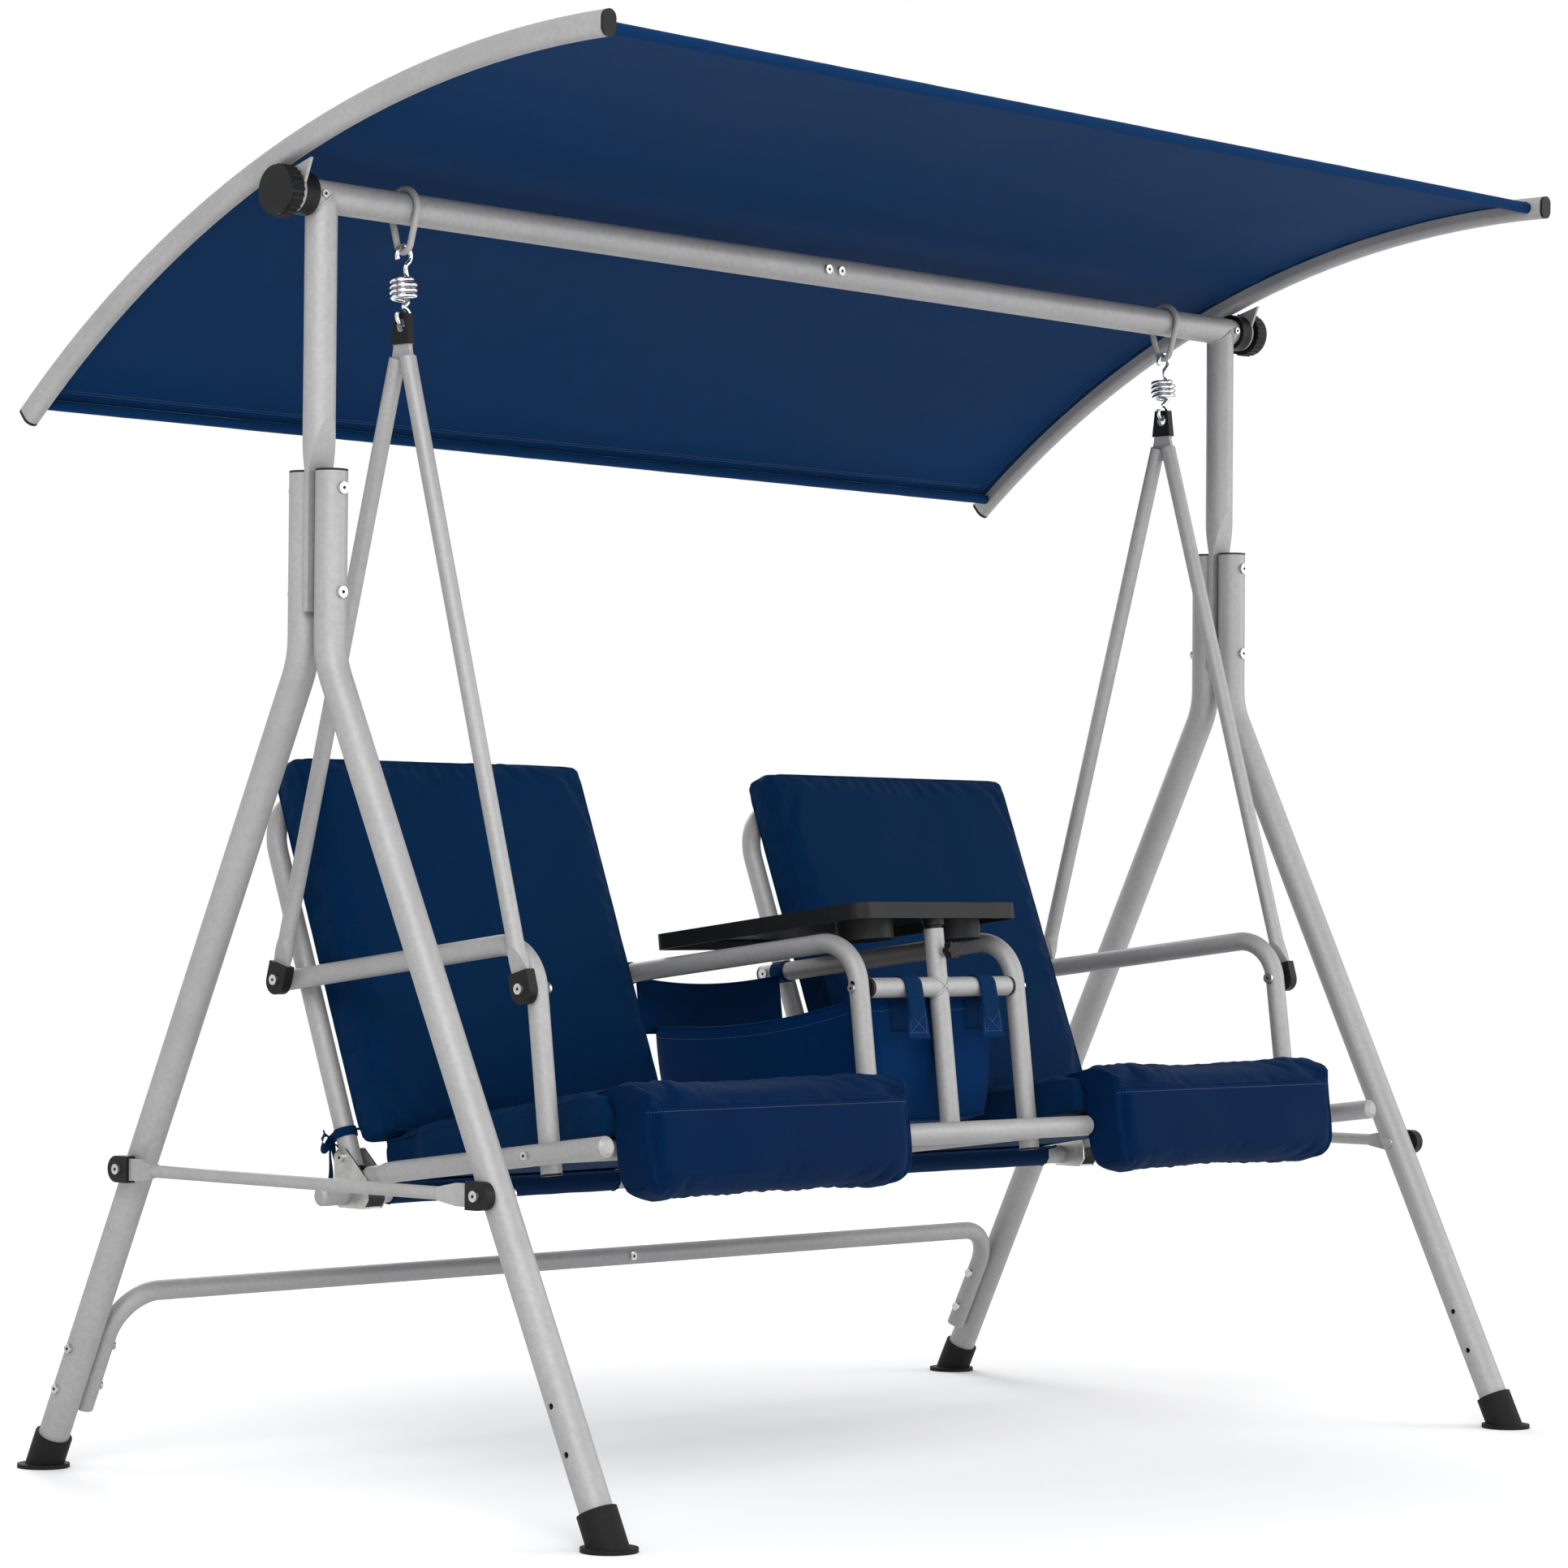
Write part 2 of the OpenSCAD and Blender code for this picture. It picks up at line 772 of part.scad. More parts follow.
module cover_at(x, top_y, p) {
    l = norm([p[0] - top_y, p[1] - arm_top_z]);
    translate([x, 0, 0]) toward(top_y, p) difference() {
        union() {
            translate([-6.5, -16, l - 20]) cube([13, 32, 22]);
            translate([-6.5, 0, l + 2]) rotate([0, 90, 0]) cylinder(h = 13, r = 16);
        }
        translate([-2.6, -13.1, l - 60]) cube([5.2, 26.2, 60]);
        translate([-2.6, 0, l]) rotate([0, 90, 0]) cylinder(h = 5.2, r = 13.1);
        translate([-30, 0, l]) rotate([0, 90, 0]) cylinder(h = 60, r = bolt_r + hole_gap);
    }
}

module hanger_covers() {
    color(black) for (x = [-hanger_x, hanger_x]) {
        cover_at(x, -arm_top_y, foot_front);
        cover_at(x, arm_top_y, foot_rear);
    }
}

// ---- seat unit ----

outer_x = seat_x + side_half - 26;
inner_x = seat_x - side_half + 26;

// Armrest: level run, bend, then a leg down past the side tube
module armrest(x) {
    seat_space() difference() {
        union() {
            along_y(x, -(arm_f - arm_bend_r), arm_n)
                pipe(arm_f - arm_bend_r - hang_f + 12, tube_r, tube_wall);
            translate([x, -(arm_f - arm_bend_r), arm_n - arm_bend_r])
                rotate([90, 0, 90]) rotate([0, 0, 90])
                    elbow(arm_bend_r, tube_r, tube_wall, 90);
            translate([x, -arm_f, -22])
                pipe(arm_n - arm_bend_r + 22, tube_r, tube_wall);
        }
        along_x(x - 40, -hang_f, arm_n) cylinder(h = 80, r = bolt_r + hole_gap);
        along_x(x - 40, -arm_f, hang_n) cylinder(h = 80, r = bolt_r + hole_gap);
        along_x(x - 40, -arm_f, 0) cylinder(h = 80, r = thin_bolt_r + hole_gap);
        along_x(x - 40, -arm_f, cross_n) cylinder(h = 80, r = thin_bolt_r + hole_gap);
    }
}

module armrest_outer_left() {
    color(silver) armrest(-outer_x);
}

module armrest_outer_right() {
    color(silver) armrest(outer_x);
}

module armrest_inner_left() {
    color(silver) armrest(-inner_x);
}

module armrest_inner_right() {
    color(silver) armrest(inner_x);
}

s_r = 70;
s_off = side_half - back_half;
s_ang = acos(1 - s_off / (2 * s_r));
s_len = 2 * s_r * sin(s_ang);
s_start = 110;

module closed_end() {
    translate([0, 0, -1]) cylinder(h = 2, r = tube_r - 0.3);
    translate([0, 0, 1]) cylinder(h = 4, r1 = tube_r - 0.3, r2 = tube_r - 5);
}

// Side tube with an S bend that brings its rear end in to the bracket
module side_tube(front) {
    translate([side_half, -front, 0]) rotate([90, 0, 0]) closed_end();
    along_y(side_half, -front, 0) pipe(front - s_start, tube_r, tube_wall);
    translate([side_half - s_r, -s_start, 0]) {
        elbow(s_r, tube_r, tube_wall, s_ang);
        rotate([0, 0, s_ang]) translate([2 * s_r, 0, 0]) mirror([1, 0, 0]) {
            elbow(s_r, tube_r, tube_wall, s_ang);
            rotate([0, 0, s_ang]) translate([s_r, 0, 0]) rotate([-90, 0, 0])
                pipe(8, tube_r, tube_wall);
        }
    }
}

module side_holes() {
    for (s = [-1, 1]) {
        along_x(s * side_half - 30, -arm_f, 0) cylinder(h = 60, r = thin_bolt_r + hole_gap);
    }
}

module seat_frame(x) {
    seat_space() translate([x, 0, 0]) difference() {
        union() {
            side_tube(x > 0 ? side_front_f : console_f);
            mirror([1, 0, 0]) side_tube(x > 0 ? console_f : side_front_f);
            along_x(-side_half + tube_r - 0.8, -bar_f, 0)
                pipe(2 * side_half - 2 * tube_r + 1.6, tube_r - 0.5, tube_wall);
        }
        side_holes();
        translate([-x, 0, 0]) along_x(-230, -console_f, 0) cylinder(h = 460, r = tube_r + 0.05);
    }
}

module seat_frame_left() {
    color(silver) seat_frame(-seat_x);
}

module seat_frame_right() {
    color(silver) seat_frame(seat_x);
}

in_x = seat_x - side_half - tube_r;

module console_frame() {
    color(silver) seat_space() {
        along_x(-console_half, -console_f, 0) pipe(2 * console_half, tube_r, tube_wall);
        for (s = [-1, 1]) {
            translate([s * console_half, -console_f, 0]) rotate([0, s * 90, 0]) closed_end();
        }
        along_x(-in_x + 0.1, -arm_f, 0) pipe(2 * in_x - 0.2, tube_r - 0.5, tube_wall);
    }
}

module rear_cross_tube() {
    color(silver) seat_space() {
        along_x(-rear_half, -rear_f, rear_n) pipe(2 * rear_half, tube_r, tube_wall);
        for (s = [-1, 1]) {
            translate([s * rear_half, -rear_f, rear_n]) rotate([0, s * 90, 0]) closed_end();
        }
    }
}

top_bend = 75;

module back_frame(x) {
    back_space() translate([x, 0, 0]) difference() {
        union() {
            for (s = [-1, 1]) {
                translate([s * back_half, 0, -14]) pipe(back_u - top_bend + 14, tube_r, tube_wall);
                translate([s * (back_half - top_bend), 0, back_u - top_bend])
                    rotate([90, 0, s > 0 ? 0 : 180])
                        elbow(top_bend, tube_r, tube_wall, 90);
            }
            along_x(-back_half + top_bend, 0, back_u)
                pipe(2 * (back_half - top_bend), tube_r, tube_wall);
        }
        for (s = [-1, 1]) {
            along_x(s * back_half - 30, 0, 0) cylinder(h = 60, r = thin_bolt_r + hole_gap);
        }
    }
}

module back_frame_left() {
    color(silver) difference() {
        back_frame(-seat_x);
        along_x(-760, foot_rear[0], foot_rear[1]) cylinder(h = 700, r = bolt_r + hole_gap);
    }
}

module back_frame_right() {
    color(silver) difference() {
        back_frame(seat_x);
        along_x(60, foot_rear[0], foot_rear[1]) cylinder(h = 700, r = bolt_r + hole_gap);
    }
}

rear_y = seat_y(rear_f, rear_n);
rear_z = seat_z(rear_f, rear_n);

module rear_bracket() {
    difference() {
        union() {
            for (x = [-15.7, 13.1]) {
                yz_plate(x, 2.6) polygon([[144, 392], [138, 399], [124, 400], [86, 366],
                    [84, 340], [92, 329], [134, 329], [144, 338]]);
            }
            yz_plate(-15.7, 31.4) polygon([[92, 329], [134, 329], [134, 331.5], [92, 331.5]]);
            yz_plate(-15.7, 31.4) polygon([[141.5, 338], [144, 338], [144, 366], [141.5, 366]]);
        }
        along_x(-40, rear_y, rear_z) cylinder(h = 80, r = tube_r + 0.05);
        along_x(-40, back_y0, back_z0) cylinder(h = 80, r = thin_bolt_r + hole_gap);
    }
}

module rear_brackets() {
    color(zinc) seats() {
        for (s = [-1, 1]) {
            translate([s * back_half, 0, 0]) rear_bracket();
        }
    }
}

module seat_bolts() {
    color(zinc) {
        both_sides() {
            along_x(outer_x - 13.2, foot_front[0], foot_front[1])
                through_bolt(hanger_x + 19.9 - outer_x, bolt_r, bolt_head_r);
            along_x(seat_x + back_half - 13.2, foot_rear[0], foot_rear[1])
                through_bolt(hanger_x + 19.9 - seat_x - back_half, bolt_r, bolt_head_r);
            along_x(inner_x - 12.7, foot_rear[0], foot_rear[1])
                through_bolt(side_half - back_half - 26 + 25.4, bolt_r, 6.5);
            seat_space() {
                along_x(outer_x - 12.7, -arm_f, 0) through_bolt(51.4, thin_bolt_r, thin_head_r);
                along_x(seat_x - side_half - 12.7, -arm_f, 0) through_bolt(51.4, thin_bolt_r, thin_head_r);
                along_x(inner_x - 17, -arm_f, cross_n) {
                    cylinder(h = 29.8, r = 3);
                    translate([0, 0, 29.7]) cylinder(h = 3, r = 5);
                }
            }
        }
        seats() {
            for (s = [-1, 1]) {
                along_x(s * back_half - 15.9, back_y0, back_z0) through_bolt(31.8, thin_bolt_r, thin_head_r);
            }
        }
    }
}

module end_plug(r) {
    cylinder(h = 2.5, r = r);
    translate([0, 0, -8]) cylinder(h = 8.1, r = r - tube_wall - cap_gap);
}

module tube_plugs() {
    color(black) {
        seat_space() {
            for (x = [-outer_x, -inner_x, inner_x, outer_x]) {
                translate([x, -arm_f, -22]) rotate([180, 0, 0]) end_plug(tube_r);
                along_y(x, 12 - hang_f, arm_n) end_plug(tube_r);
            }
            for (s = [-1, 1]) {
                translate([s * 129, -arm_f, cross_n]) rotate([0, s * 90, 0]) difference() {
                    cylinder(h = 5, r = tube_r);
                    translate([0, 0, -1]) cylinder(h = 8, r = thin_bolt_r + hole_gap);
                }
            }
        }
        back_space() seats() {
            for (s = [-1, 1]) {
                translate([s * back_half, 0, -14]) rotate([180, 0, 0]) cylinder(h = 2, r = tube_r);
            }
        }
    }
}

sling_w = 380;
sling_top_w = 338;
sling_r = tube_r + 0.25;
sling_t = 1.5;
sling_near = sling_r + 0.3;
sling_far = sling_r + sling_t - 0.3;
sling_slope = atan((0 - rear_n) / (bar_f - rear_f));
sling_len = norm([bar_f - rear_f, rear_n]);

// Continuous fabric support: seat panel, rear pocket and back panel
module sling() {
    seat_space() {
        along_x(-sling_w / 2, -bar_f, 0) pipe(sling_w, sling_r + sling_t, sling_t);
        along_x(-sling_w / 2, -rear_f, rear_n) pipe(sling_w, sling_r + sling_t, sling_t);
        translate([-sling_w / 2, -bar_f, 0]) rotate([-sling_slope, 0, 0])
            translate([0, 0, sling_near]) cube([sling_w, sling_len, sling_far - sling_near]);
    }
    back_space() {
        along_x(-sling_top_w / 2, 0, back_u) pipe(sling_top_w, sling_r + sling_t, sling_t);
        translate([-sling_top_w / 2, -sling_far, -20])
            cube([sling_top_w, sling_far - sling_near, back_u + 20]);
    }
    yz_plate(-sling_top_w / 2, sling_top_w) polygon([
        [back_y0 - 19.5 * sin(back_lean) - sling_far * cos(back_lean),
            back_z0 - 19.5 * cos(back_lean) + sling_far * sin(back_lean)],
        [back_y0 - 19.5 * sin(back_lean) - sling_near * cos(back_lean),
            back_z0 - 19.5 * cos(back_lean) + sling_near * sin(back_lean)],
        [rear_y - sling_near * cos(10), rear_z + sling_near * sin(10)],
        [rear_y - sling_far * cos(10), rear_z + sling_far * sin(10)]]);
}

module sling_left() {
    color(navy) translate([-seat_x, 0, 0]) sling();
}

module sling_right() {
    color(navy) translate([seat_x, 0, 0]) sling();
}

module pill2d(l, t, r) {
    translate([r, 0]) square([l - 2 * r, t]);
    translate([0, r]) square([l, t - 2 * r]);
    for (x = [r, l - r]) {
        for (y = [r, t - r]) {
            translate([x, y]) circle(r);
        }
    }
}

pad_l = 398;
pad_rear_half = 227;
back_pad_low = 9;

// Seat cushion with the deep front roll
module seat_cushion() {
    seat_space() {
        difference() {
            translate([-cushion_w / 2, -392, 17]) rotate([-sling_slope, 0, 0])
                rotate([90, 0, 90]) linear_extrude(cushion_w) pill2d(pad_l, cushion_t, 14);
            for (s = [-1, 1]) {
                translate([s * (pad_rear_half + 20) - 20, -40, -40]) cube([40, 100, 140]);
            }
        }
        translate([-cushion_w / 2 + 15, -444, -62])
            rotate([90, 0, 90]) linear_extrude(cushion_w - 30) pill2d(56, 138, 20);
    }
}

module seat_cushion_left() {
    color(navy) translate([-seat_x, 0, 0]) seat_cushion();
}

module seat_cushion_right() {
    color(navy) translate([seat_x, 0, 0]) seat_cushion();
}

module back_cushion() {
    back_space() translate([-cushion_w / 2, -17 - cushion_t, back_pad_low])
        rotate([90, 0, 90]) linear_extrude(cushion_w)
            pill2d(cushion_t, back_u + 30 - back_pad_low, 14);
}

module back_cushion_left() {
    color(navy) translate([-seat_x, 0, 0]) back_cushion();
}

module back_cushion_right() {
    color(navy) translate([seat_x, 0, 0]) back_cushion();
}

// Tie bands round the back frame legs
module cushion_ties() {
    color(navy) back_space() seats() {
        for (s = [-1, 1]) {
            translate([s * back_half, 0, 24]) pipe(12, tube_r + 2, 1.8);
            translate([s * back_half - 1, tube_r + 0.6, 26]) cube([2, 16, 8]);
            translate([s * back_half - 1, -tube_r - 4.2, 26]) cube([2, 3.6, 8]);
        }
    }
}

// ---- table and bag ----

module post_outer(r, ends) {
    translate([0, -arm_f, 0]) cylinder(h = post_top, r = r);
    along_x(-ends, -arm_f, cross_n) cylinder(h = 2 * ends, r = r);
}

module table_post() {
    color(silver) seat_space() {
        difference() {
            post_outer(tube_r, 128.9);
            translate([0, -arm_f, -10]) cylinder(h = post_top + 20, r = tube_in);
            along_x(-140, -arm_f, cross_n) cylinder(h = 280, r = tube_in);
            along_x(-140, -arm_f, 0) cylinder(h = 280, r = tube_r - 0.45);
            translate([0, -arm_f, knob_n]) rotate([90, 0, 0]) cylinder(h = 40, r = 3.06);
        }
        translate([0, -arm_f - tube_r + 0.4, knob_n]) rotate([90, 0, 0]) difference() {
            cylinder(h = 5, r = 6.5);
            translate([0, 0, -1]) cylinder(h = 8, r = 3.06);
        }
    }
}

module table_stem() {
    color(black) seat_space() translate([0, -arm_f, 0]) {
        translate([0, 0, 150]) cylinder(h = 111.6, r = tube_in - 0.08);
        translate([0, 0, 261]) cylinder(h = 10, r = stem_r);
    }
}

module rounded2d(w, l, r) {
    translate([-w / 2 + r, 0]) square([w - 2 * r, l]);
    translate([-w / 2, r]) square([w, l - 2 * r]);
    for (x = [-w / 2 + r, w / 2 - r]) {
        for (y = [r, l - r]) {
            translate([x, y]) circle(r);
        }
    }
}

tray_front = 350;
tray_h = 20;
rim_w = 4;
plate_n = tray_n + 11;
plate_t = 3;
cup_f = 292;
cup_x = 82;
cup_wall = 2.2;
cup_low = tray_n - 22;
slot_f = [40, 62, 84];
slot_x = 70;
slot_half = 28;
slot_r = 4;
stem_r = 7;

// Moulded tray: raised rim, recessed top, hollow underside, socket for the stem
module table_tray() {
    color(black) seat_space() difference() {
        union() {
            translate([0, -tray_front, tray_n]) linear_extrude(tray_h) difference() {
                rounded2d(tray_w, tray_l, 18);
                translate([0, rim_w])
                    rounded2d(tray_w - 2 * rim_w, tray_l - 2 * rim_w, 18 - rim_w);
            }
            translate([0, -tray_front + 1, plate_n]) linear_extrude(plate_t)
                rounded2d(tray_w - 2, tray_l - 2, 17);
            translate([0, -arm_f, tray_n - 8]) cylinder(h = plate_n - tray_n + 9, r = 14);
        }
        for (s = [-1, 1]) {
            translate([s * cup_x, -cup_f, tray_n]) cylinder(h = 30, r = cup_r + cup_wall + cap_gap);
        }
        translate([0, -arm_f, tray_n - 10]) cylinder(h = 12, r = stem_r + 0.06);
        for (s = [-1, 1]) {
            for (f = slot_f) {
                translate([s * slot_x, -f, plate_n - 2]) linear_extrude(10) {
                    translate([-slot_half, -slot_r]) square([2 * slot_half, 2 * slot_r]);
                    translate([-slot_half, 0]) circle(slot_r);
                    translate([slot_half, 0]) circle(slot_r);
                }
            }
        }
    }
}

// Cup wells that drop through the tray and rest on their lips
module cup_wells() {
    color(black) seat_space() for (s = [-1, 1]) {
        translate([s * cup_x, -cup_f, 0]) difference() {
            union() {
                translate([0, 0, cup_low])
                    cylinder(h = plate_n + plate_t - cup_low + 1, r = cup_r + cup_wall);
                translate([0, 0, plate_n + plate_t + cap_gap])
                    cylinder(h = 1.6, r = cup_r + cup_wall + 3);
            }
            translate([0, 0, cup_low + 2.5]) cylinder(h = 60, r = cup_r);
        }
    }
}

module star_knob() {
    lobes = 6;
    color(black) seat_space() translate([0, -arm_f - tube_in - 0.4, knob_n]) rotate([90, 0, 0]) {
        cylinder(h = 12, r = 3);
        translate([0, 0, 7]) {
            cylinder(h = 4, r = 5);
            translate([0, 0, 3.5]) cylinder(h = 10, r = 8.5);
            for (i = [0:lobes - 1]) {
                rotate([0, 0, i * 360 / lobes]) translate([8.5, 0, 3.5]) cylinder(h = 10, r = 3);
            }
        }
    }
}

bag_w = 236;
bag_front = 319.3;
bag_rear = -64;
bag_top = 177;
bag_low = 20;

// Open-topped fabric bag between the inner armrests
module storage_bag() {
    color(navy) seat_space() difference() {
        translate([-bag_w / 2, -bag_front, bag_low])
            cube([bag_w, bag_front - bag_rear, bag_top - bag_low]);
        translate([-bag_w / 2 + 2, -bag_front + 2, bag_low + 2])
            cube([bag_w - 4, bag_front - bag_rear - 4, bag_top - bag_low]);
    }
}

strap_x = [-62, 78];
strap_r = tube_r + 0.3;

// Front straps over the post crossbar and rear loops over the armrests
module bag_straps() {
    color(navy) seat_space() {
        for (x = strap_x) {
            along_x(x - 17, -arm_f, cross_n) difference() {
                pipe(34, strap_r + 1.8, 1.8);
                translate([0, -2 * strap_r, -1]) cube([3 * strap_r, 4 * strap_r, 60]);
            }
            translate([x - 17, -arm_f - strap_r - 1.8, cross_n - 58]) cube([34, 1.8, 58.1]);
            translate([x - 17, -arm_f + strap_r, cross_n - 58]) cube([34, 1.8, 58.1]);
        }
        for (s = [-1, 1]) {
            along_y(s * inner_x, 58, arm_n) pipe(24, strap_r + 1.8, 1.8);
        }
        translate([-inner_x + 12.2, 64, bag_top]) cube([2 * inner_x - 24.4, 1.8, 63]);
        translate([-bag_w / 2, 64, bag_top - 24]) cube([bag_w, 1.8, 24.1]);
    }
}

leg_front_left();
leg_front_right();
leg_rear_left();
leg_rear_right();
upright_left();
upright_right();
crossbar_left();
crossbar_right();
frame_bolts();
leg_plugs();
foot_caps();
brace_left();
brace_right();
brace_covers();
rear_bar_left();
rear_bar_right();
hanger_loops();
fixed_ratchets();
canopy_bar_left();
canopy_bar_right();
canopy_brackets();
canopy_ratchets();
canopy_plugs();
canopy_spreaders();
canopy_fabric();
knob_left();
knob_right();
spring_left();
spring_right();
hanger_left();
hanger_right();
hanger_sleeves();
hanger_covers();
armrest_outer_left();
armrest_outer_right();
armrest_inner_left();
armrest_inner_right();
seat_frame_left();
seat_frame_right();
console_frame();
rear_cross_tube();
back_frame_left();
back_frame_right();
rear_brackets();
seat_bolts();
tube_plugs();
sling_left();
sling_right();
seat_cushion_left();
seat_cushion_right();
back_cushion_left();
back_cushion_right();
cushion_ties();
table_post();
table_stem();
table_tray();
cup_wells();
star_knob();
storage_bag();
bag_straps();
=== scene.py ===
"""Two-seat canopy swing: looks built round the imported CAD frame, in metres."""

import json
import math

import bmesh
import bpy
from mathutils import Matrix, Vector, noise


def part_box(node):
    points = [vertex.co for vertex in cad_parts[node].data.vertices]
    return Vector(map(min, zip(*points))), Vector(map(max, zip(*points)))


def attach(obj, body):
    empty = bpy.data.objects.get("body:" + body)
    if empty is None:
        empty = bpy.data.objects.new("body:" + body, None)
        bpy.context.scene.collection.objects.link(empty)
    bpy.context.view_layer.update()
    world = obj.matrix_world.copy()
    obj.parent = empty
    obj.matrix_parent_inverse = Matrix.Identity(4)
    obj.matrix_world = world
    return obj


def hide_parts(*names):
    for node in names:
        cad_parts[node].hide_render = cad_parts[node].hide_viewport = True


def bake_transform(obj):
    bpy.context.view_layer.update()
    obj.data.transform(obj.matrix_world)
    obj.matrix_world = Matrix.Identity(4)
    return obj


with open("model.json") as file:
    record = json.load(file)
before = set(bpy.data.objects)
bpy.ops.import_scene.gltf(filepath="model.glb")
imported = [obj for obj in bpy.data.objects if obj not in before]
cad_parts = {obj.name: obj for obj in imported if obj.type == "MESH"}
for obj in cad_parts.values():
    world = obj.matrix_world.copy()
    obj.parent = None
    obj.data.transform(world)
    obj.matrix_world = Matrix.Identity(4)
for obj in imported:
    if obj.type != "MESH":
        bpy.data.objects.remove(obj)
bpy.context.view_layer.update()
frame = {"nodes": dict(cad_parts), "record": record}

# The seat frame leans back: local x stays X, v runs rearwards and n is its upward normal.
SEAT_TILT = math.radians(7.2)
SEAT_ORIGIN = Vector((0.0, 0.090, 0.368))
BACK_LEAN = math.radians(21.0)
BACK_ORIGIN = Vector((0.0, 0.131, 0.389))
SEAT_X = 0.419
CUSHION_W = 0.480
CUSHION_T = 0.046
ARM_F = 0.334
ARM_N = 0.246
POST_CROSS_N = 0.185
TUBE_R = 0.0125
BACK_LOW = 0.009
BACK_TOP = 0.495
PAD_REAR_HALF = 0.227
SIM_FRAMES = 20


def seat_matrix():
    return Matrix.Translation(SEAT_ORIGIN) @ Matrix.Rotation(-SEAT_TILT, 4, "X")


def back_matrix():
    return Matrix.Translation(BACK_ORIGIN) @ Matrix.Rotation(-BACK_LEAN, 4, "X")


# ---------------------------------------------------------------- materials


class Nodes:
    """A short way to write a material's node tree."""

    def __init__(self, name):
        self.material = bpy.data.materials.new(name)
        self.material.use_nodes = True
        self.tree = self.material.node_tree
        self.shader = self.tree.nodes["Principled BSDF"]
        self.output = self.tree.nodes["Material Output"]
        self.coord = self.tree.nodes.new("ShaderNodeTexCoord").outputs["Object"]

    def put(self, socket, value):
        if isinstance(value, bpy.types.NodeSocket):
            self.tree.links.new(value, socket)
        else:
            socket.default_value = value

    def node(self, kind, inputs=None, **settings):
        made = self.tree.nodes.new(kind)
        for key, value in settings.items():
            setattr(made, key, value)
        for key, value in (inputs or {}).items():
            self.put(made.inputs[key], value)
        return made

    def noise(self, scale, detail=4.0, rough=0.5, vector=None):
        vector = vector or self.coord
        inputs = {"Vector": vector, "Scale": scale, "Detail": detail, "Roughness": rough}
        return self.node("ShaderNodeTexNoise", inputs).outputs["Fac"]

    def math(self, operation, a, b=0.0):
        return self.node("ShaderNodeMath", {0: a, 1: b}, operation=operation).outputs[0]

    def remap(self, value, low, high, to_low, to_high):
        inputs = {"Value": value, "From Min": low, "From Max": high,
                  "To Min": to_low, "To Max": to_high}
        return self.node("ShaderNodeMapRange", inputs).outputs["Result"]

    def mix(self, factor, a, b):
        made = self.tree.nodes.new("ShaderNodeMix")
        made.data_type = "RGBA"
        self.put(made.inputs[0], factor)
        self.put(made.inputs[6], a)
        self.put(made.inputs[7], b)
        return made.outputs[2]

    def bump(self, height, strength, distance):
        inputs = {"Height": height, "Strength": strength, "Distance": distance}
        return self.node("ShaderNodeBump", inputs).outputs["Normal"]

    def finish(self, **values):
        for key, value in values.items():
            self.put(self.shader.inputs[key.replace("_", " ")], value)
        return self.material


def shade(rgb, factor=1.0):
    return (rgb[0] * factor, rgb[1] * factor, rgb[2] * factor, 1.0)


def powder_coat():
    """Light silver-grey coat with a fine orange-peel grain and faint handling marks."""
    n = Nodes("silver_powder_coat")
    fine = n.noise(900.0, 2.0, 0.6)
    flake = n.noise(2600.0, 1.0, 0.5)
    broad = n.noise(7.0, 4.0, 0.6)
    base = n.mix(n.remap(broad, 0.35, 0.65, 0.0, 1.0),
                 shade((0.270, 0.266, 0.266)), shade((0.315, 0.310, 0.309)))
    mottle = n.noise(140.0, 5.0, 0.7)
    base = n.mix(n.remap(mottle, 0.40, 0.62, 0.0, 0.5), base, shade((0.235, 0.233, 0.236)))
    speck = n.mix(n.remap(flake, 0.56, 0.70, 0.0, 0.55), base, shade((0.46, 0.455, 0.45)))
    rough = n.remap(n.math("ADD", n.math("MULTIPLY", broad, 0.5), n.math("MULTIPLY", fine, 0.5)),
                    0.3, 0.7, 0.46, 0.62)
    peel = n.bump(fine, 0.22, 0.0006)
    return n.finish(Base_Color=speck, Roughness=rough, Normal=peel, Metallic=0.30)


def zinc(name="bright_zinc", rgb=(0.56, 0.56, 0.55), low=0.22, high=0.42):
    n = Nodes(name)
    spangle = n.node("ShaderNodeTexVoronoi", {"Vector": n.coord, "Scale": 260.0})
    cells = spangle.outputs["Distance"]
    stain = n.noise(60.0, 5.0, 0.6)
    colour = n.mix(n.remap(stain, 0.4, 0.7, 0.0, 1.0), shade(rgb), shade(rgb, 0.74))
    rough = n.remap(n.math("ADD", cells, stain), 0.4, 1.2, low, high)
    return n.finish(Base_Color=colour, Roughness=rough, Metallic=1.0,
                    Normal=n.bump(stain, 0.1, 0.0004))


def chrome():
    """Plated spring wire: bright, with fine drawing lines and slight clouding."""
    n = Nodes("plated_spring_wire")
    cloud = n.noise(90.0, 4.0, 0.6)
    lines = n.noise(1500.0, 1.0, 0.4)
    rough = n.remap(cloud, 0.35, 0.7, 0.08, 0.24)
    colour = n.mix(cloud, shade((0.72, 0.72, 0.73)), shade((0.60, 0.60, 0.62)))
    return n.finish(Base_Color=colour, Roughness=rough, Metallic=1.0,
                    Normal=n.bump(lines, 0.06, 0.0003))


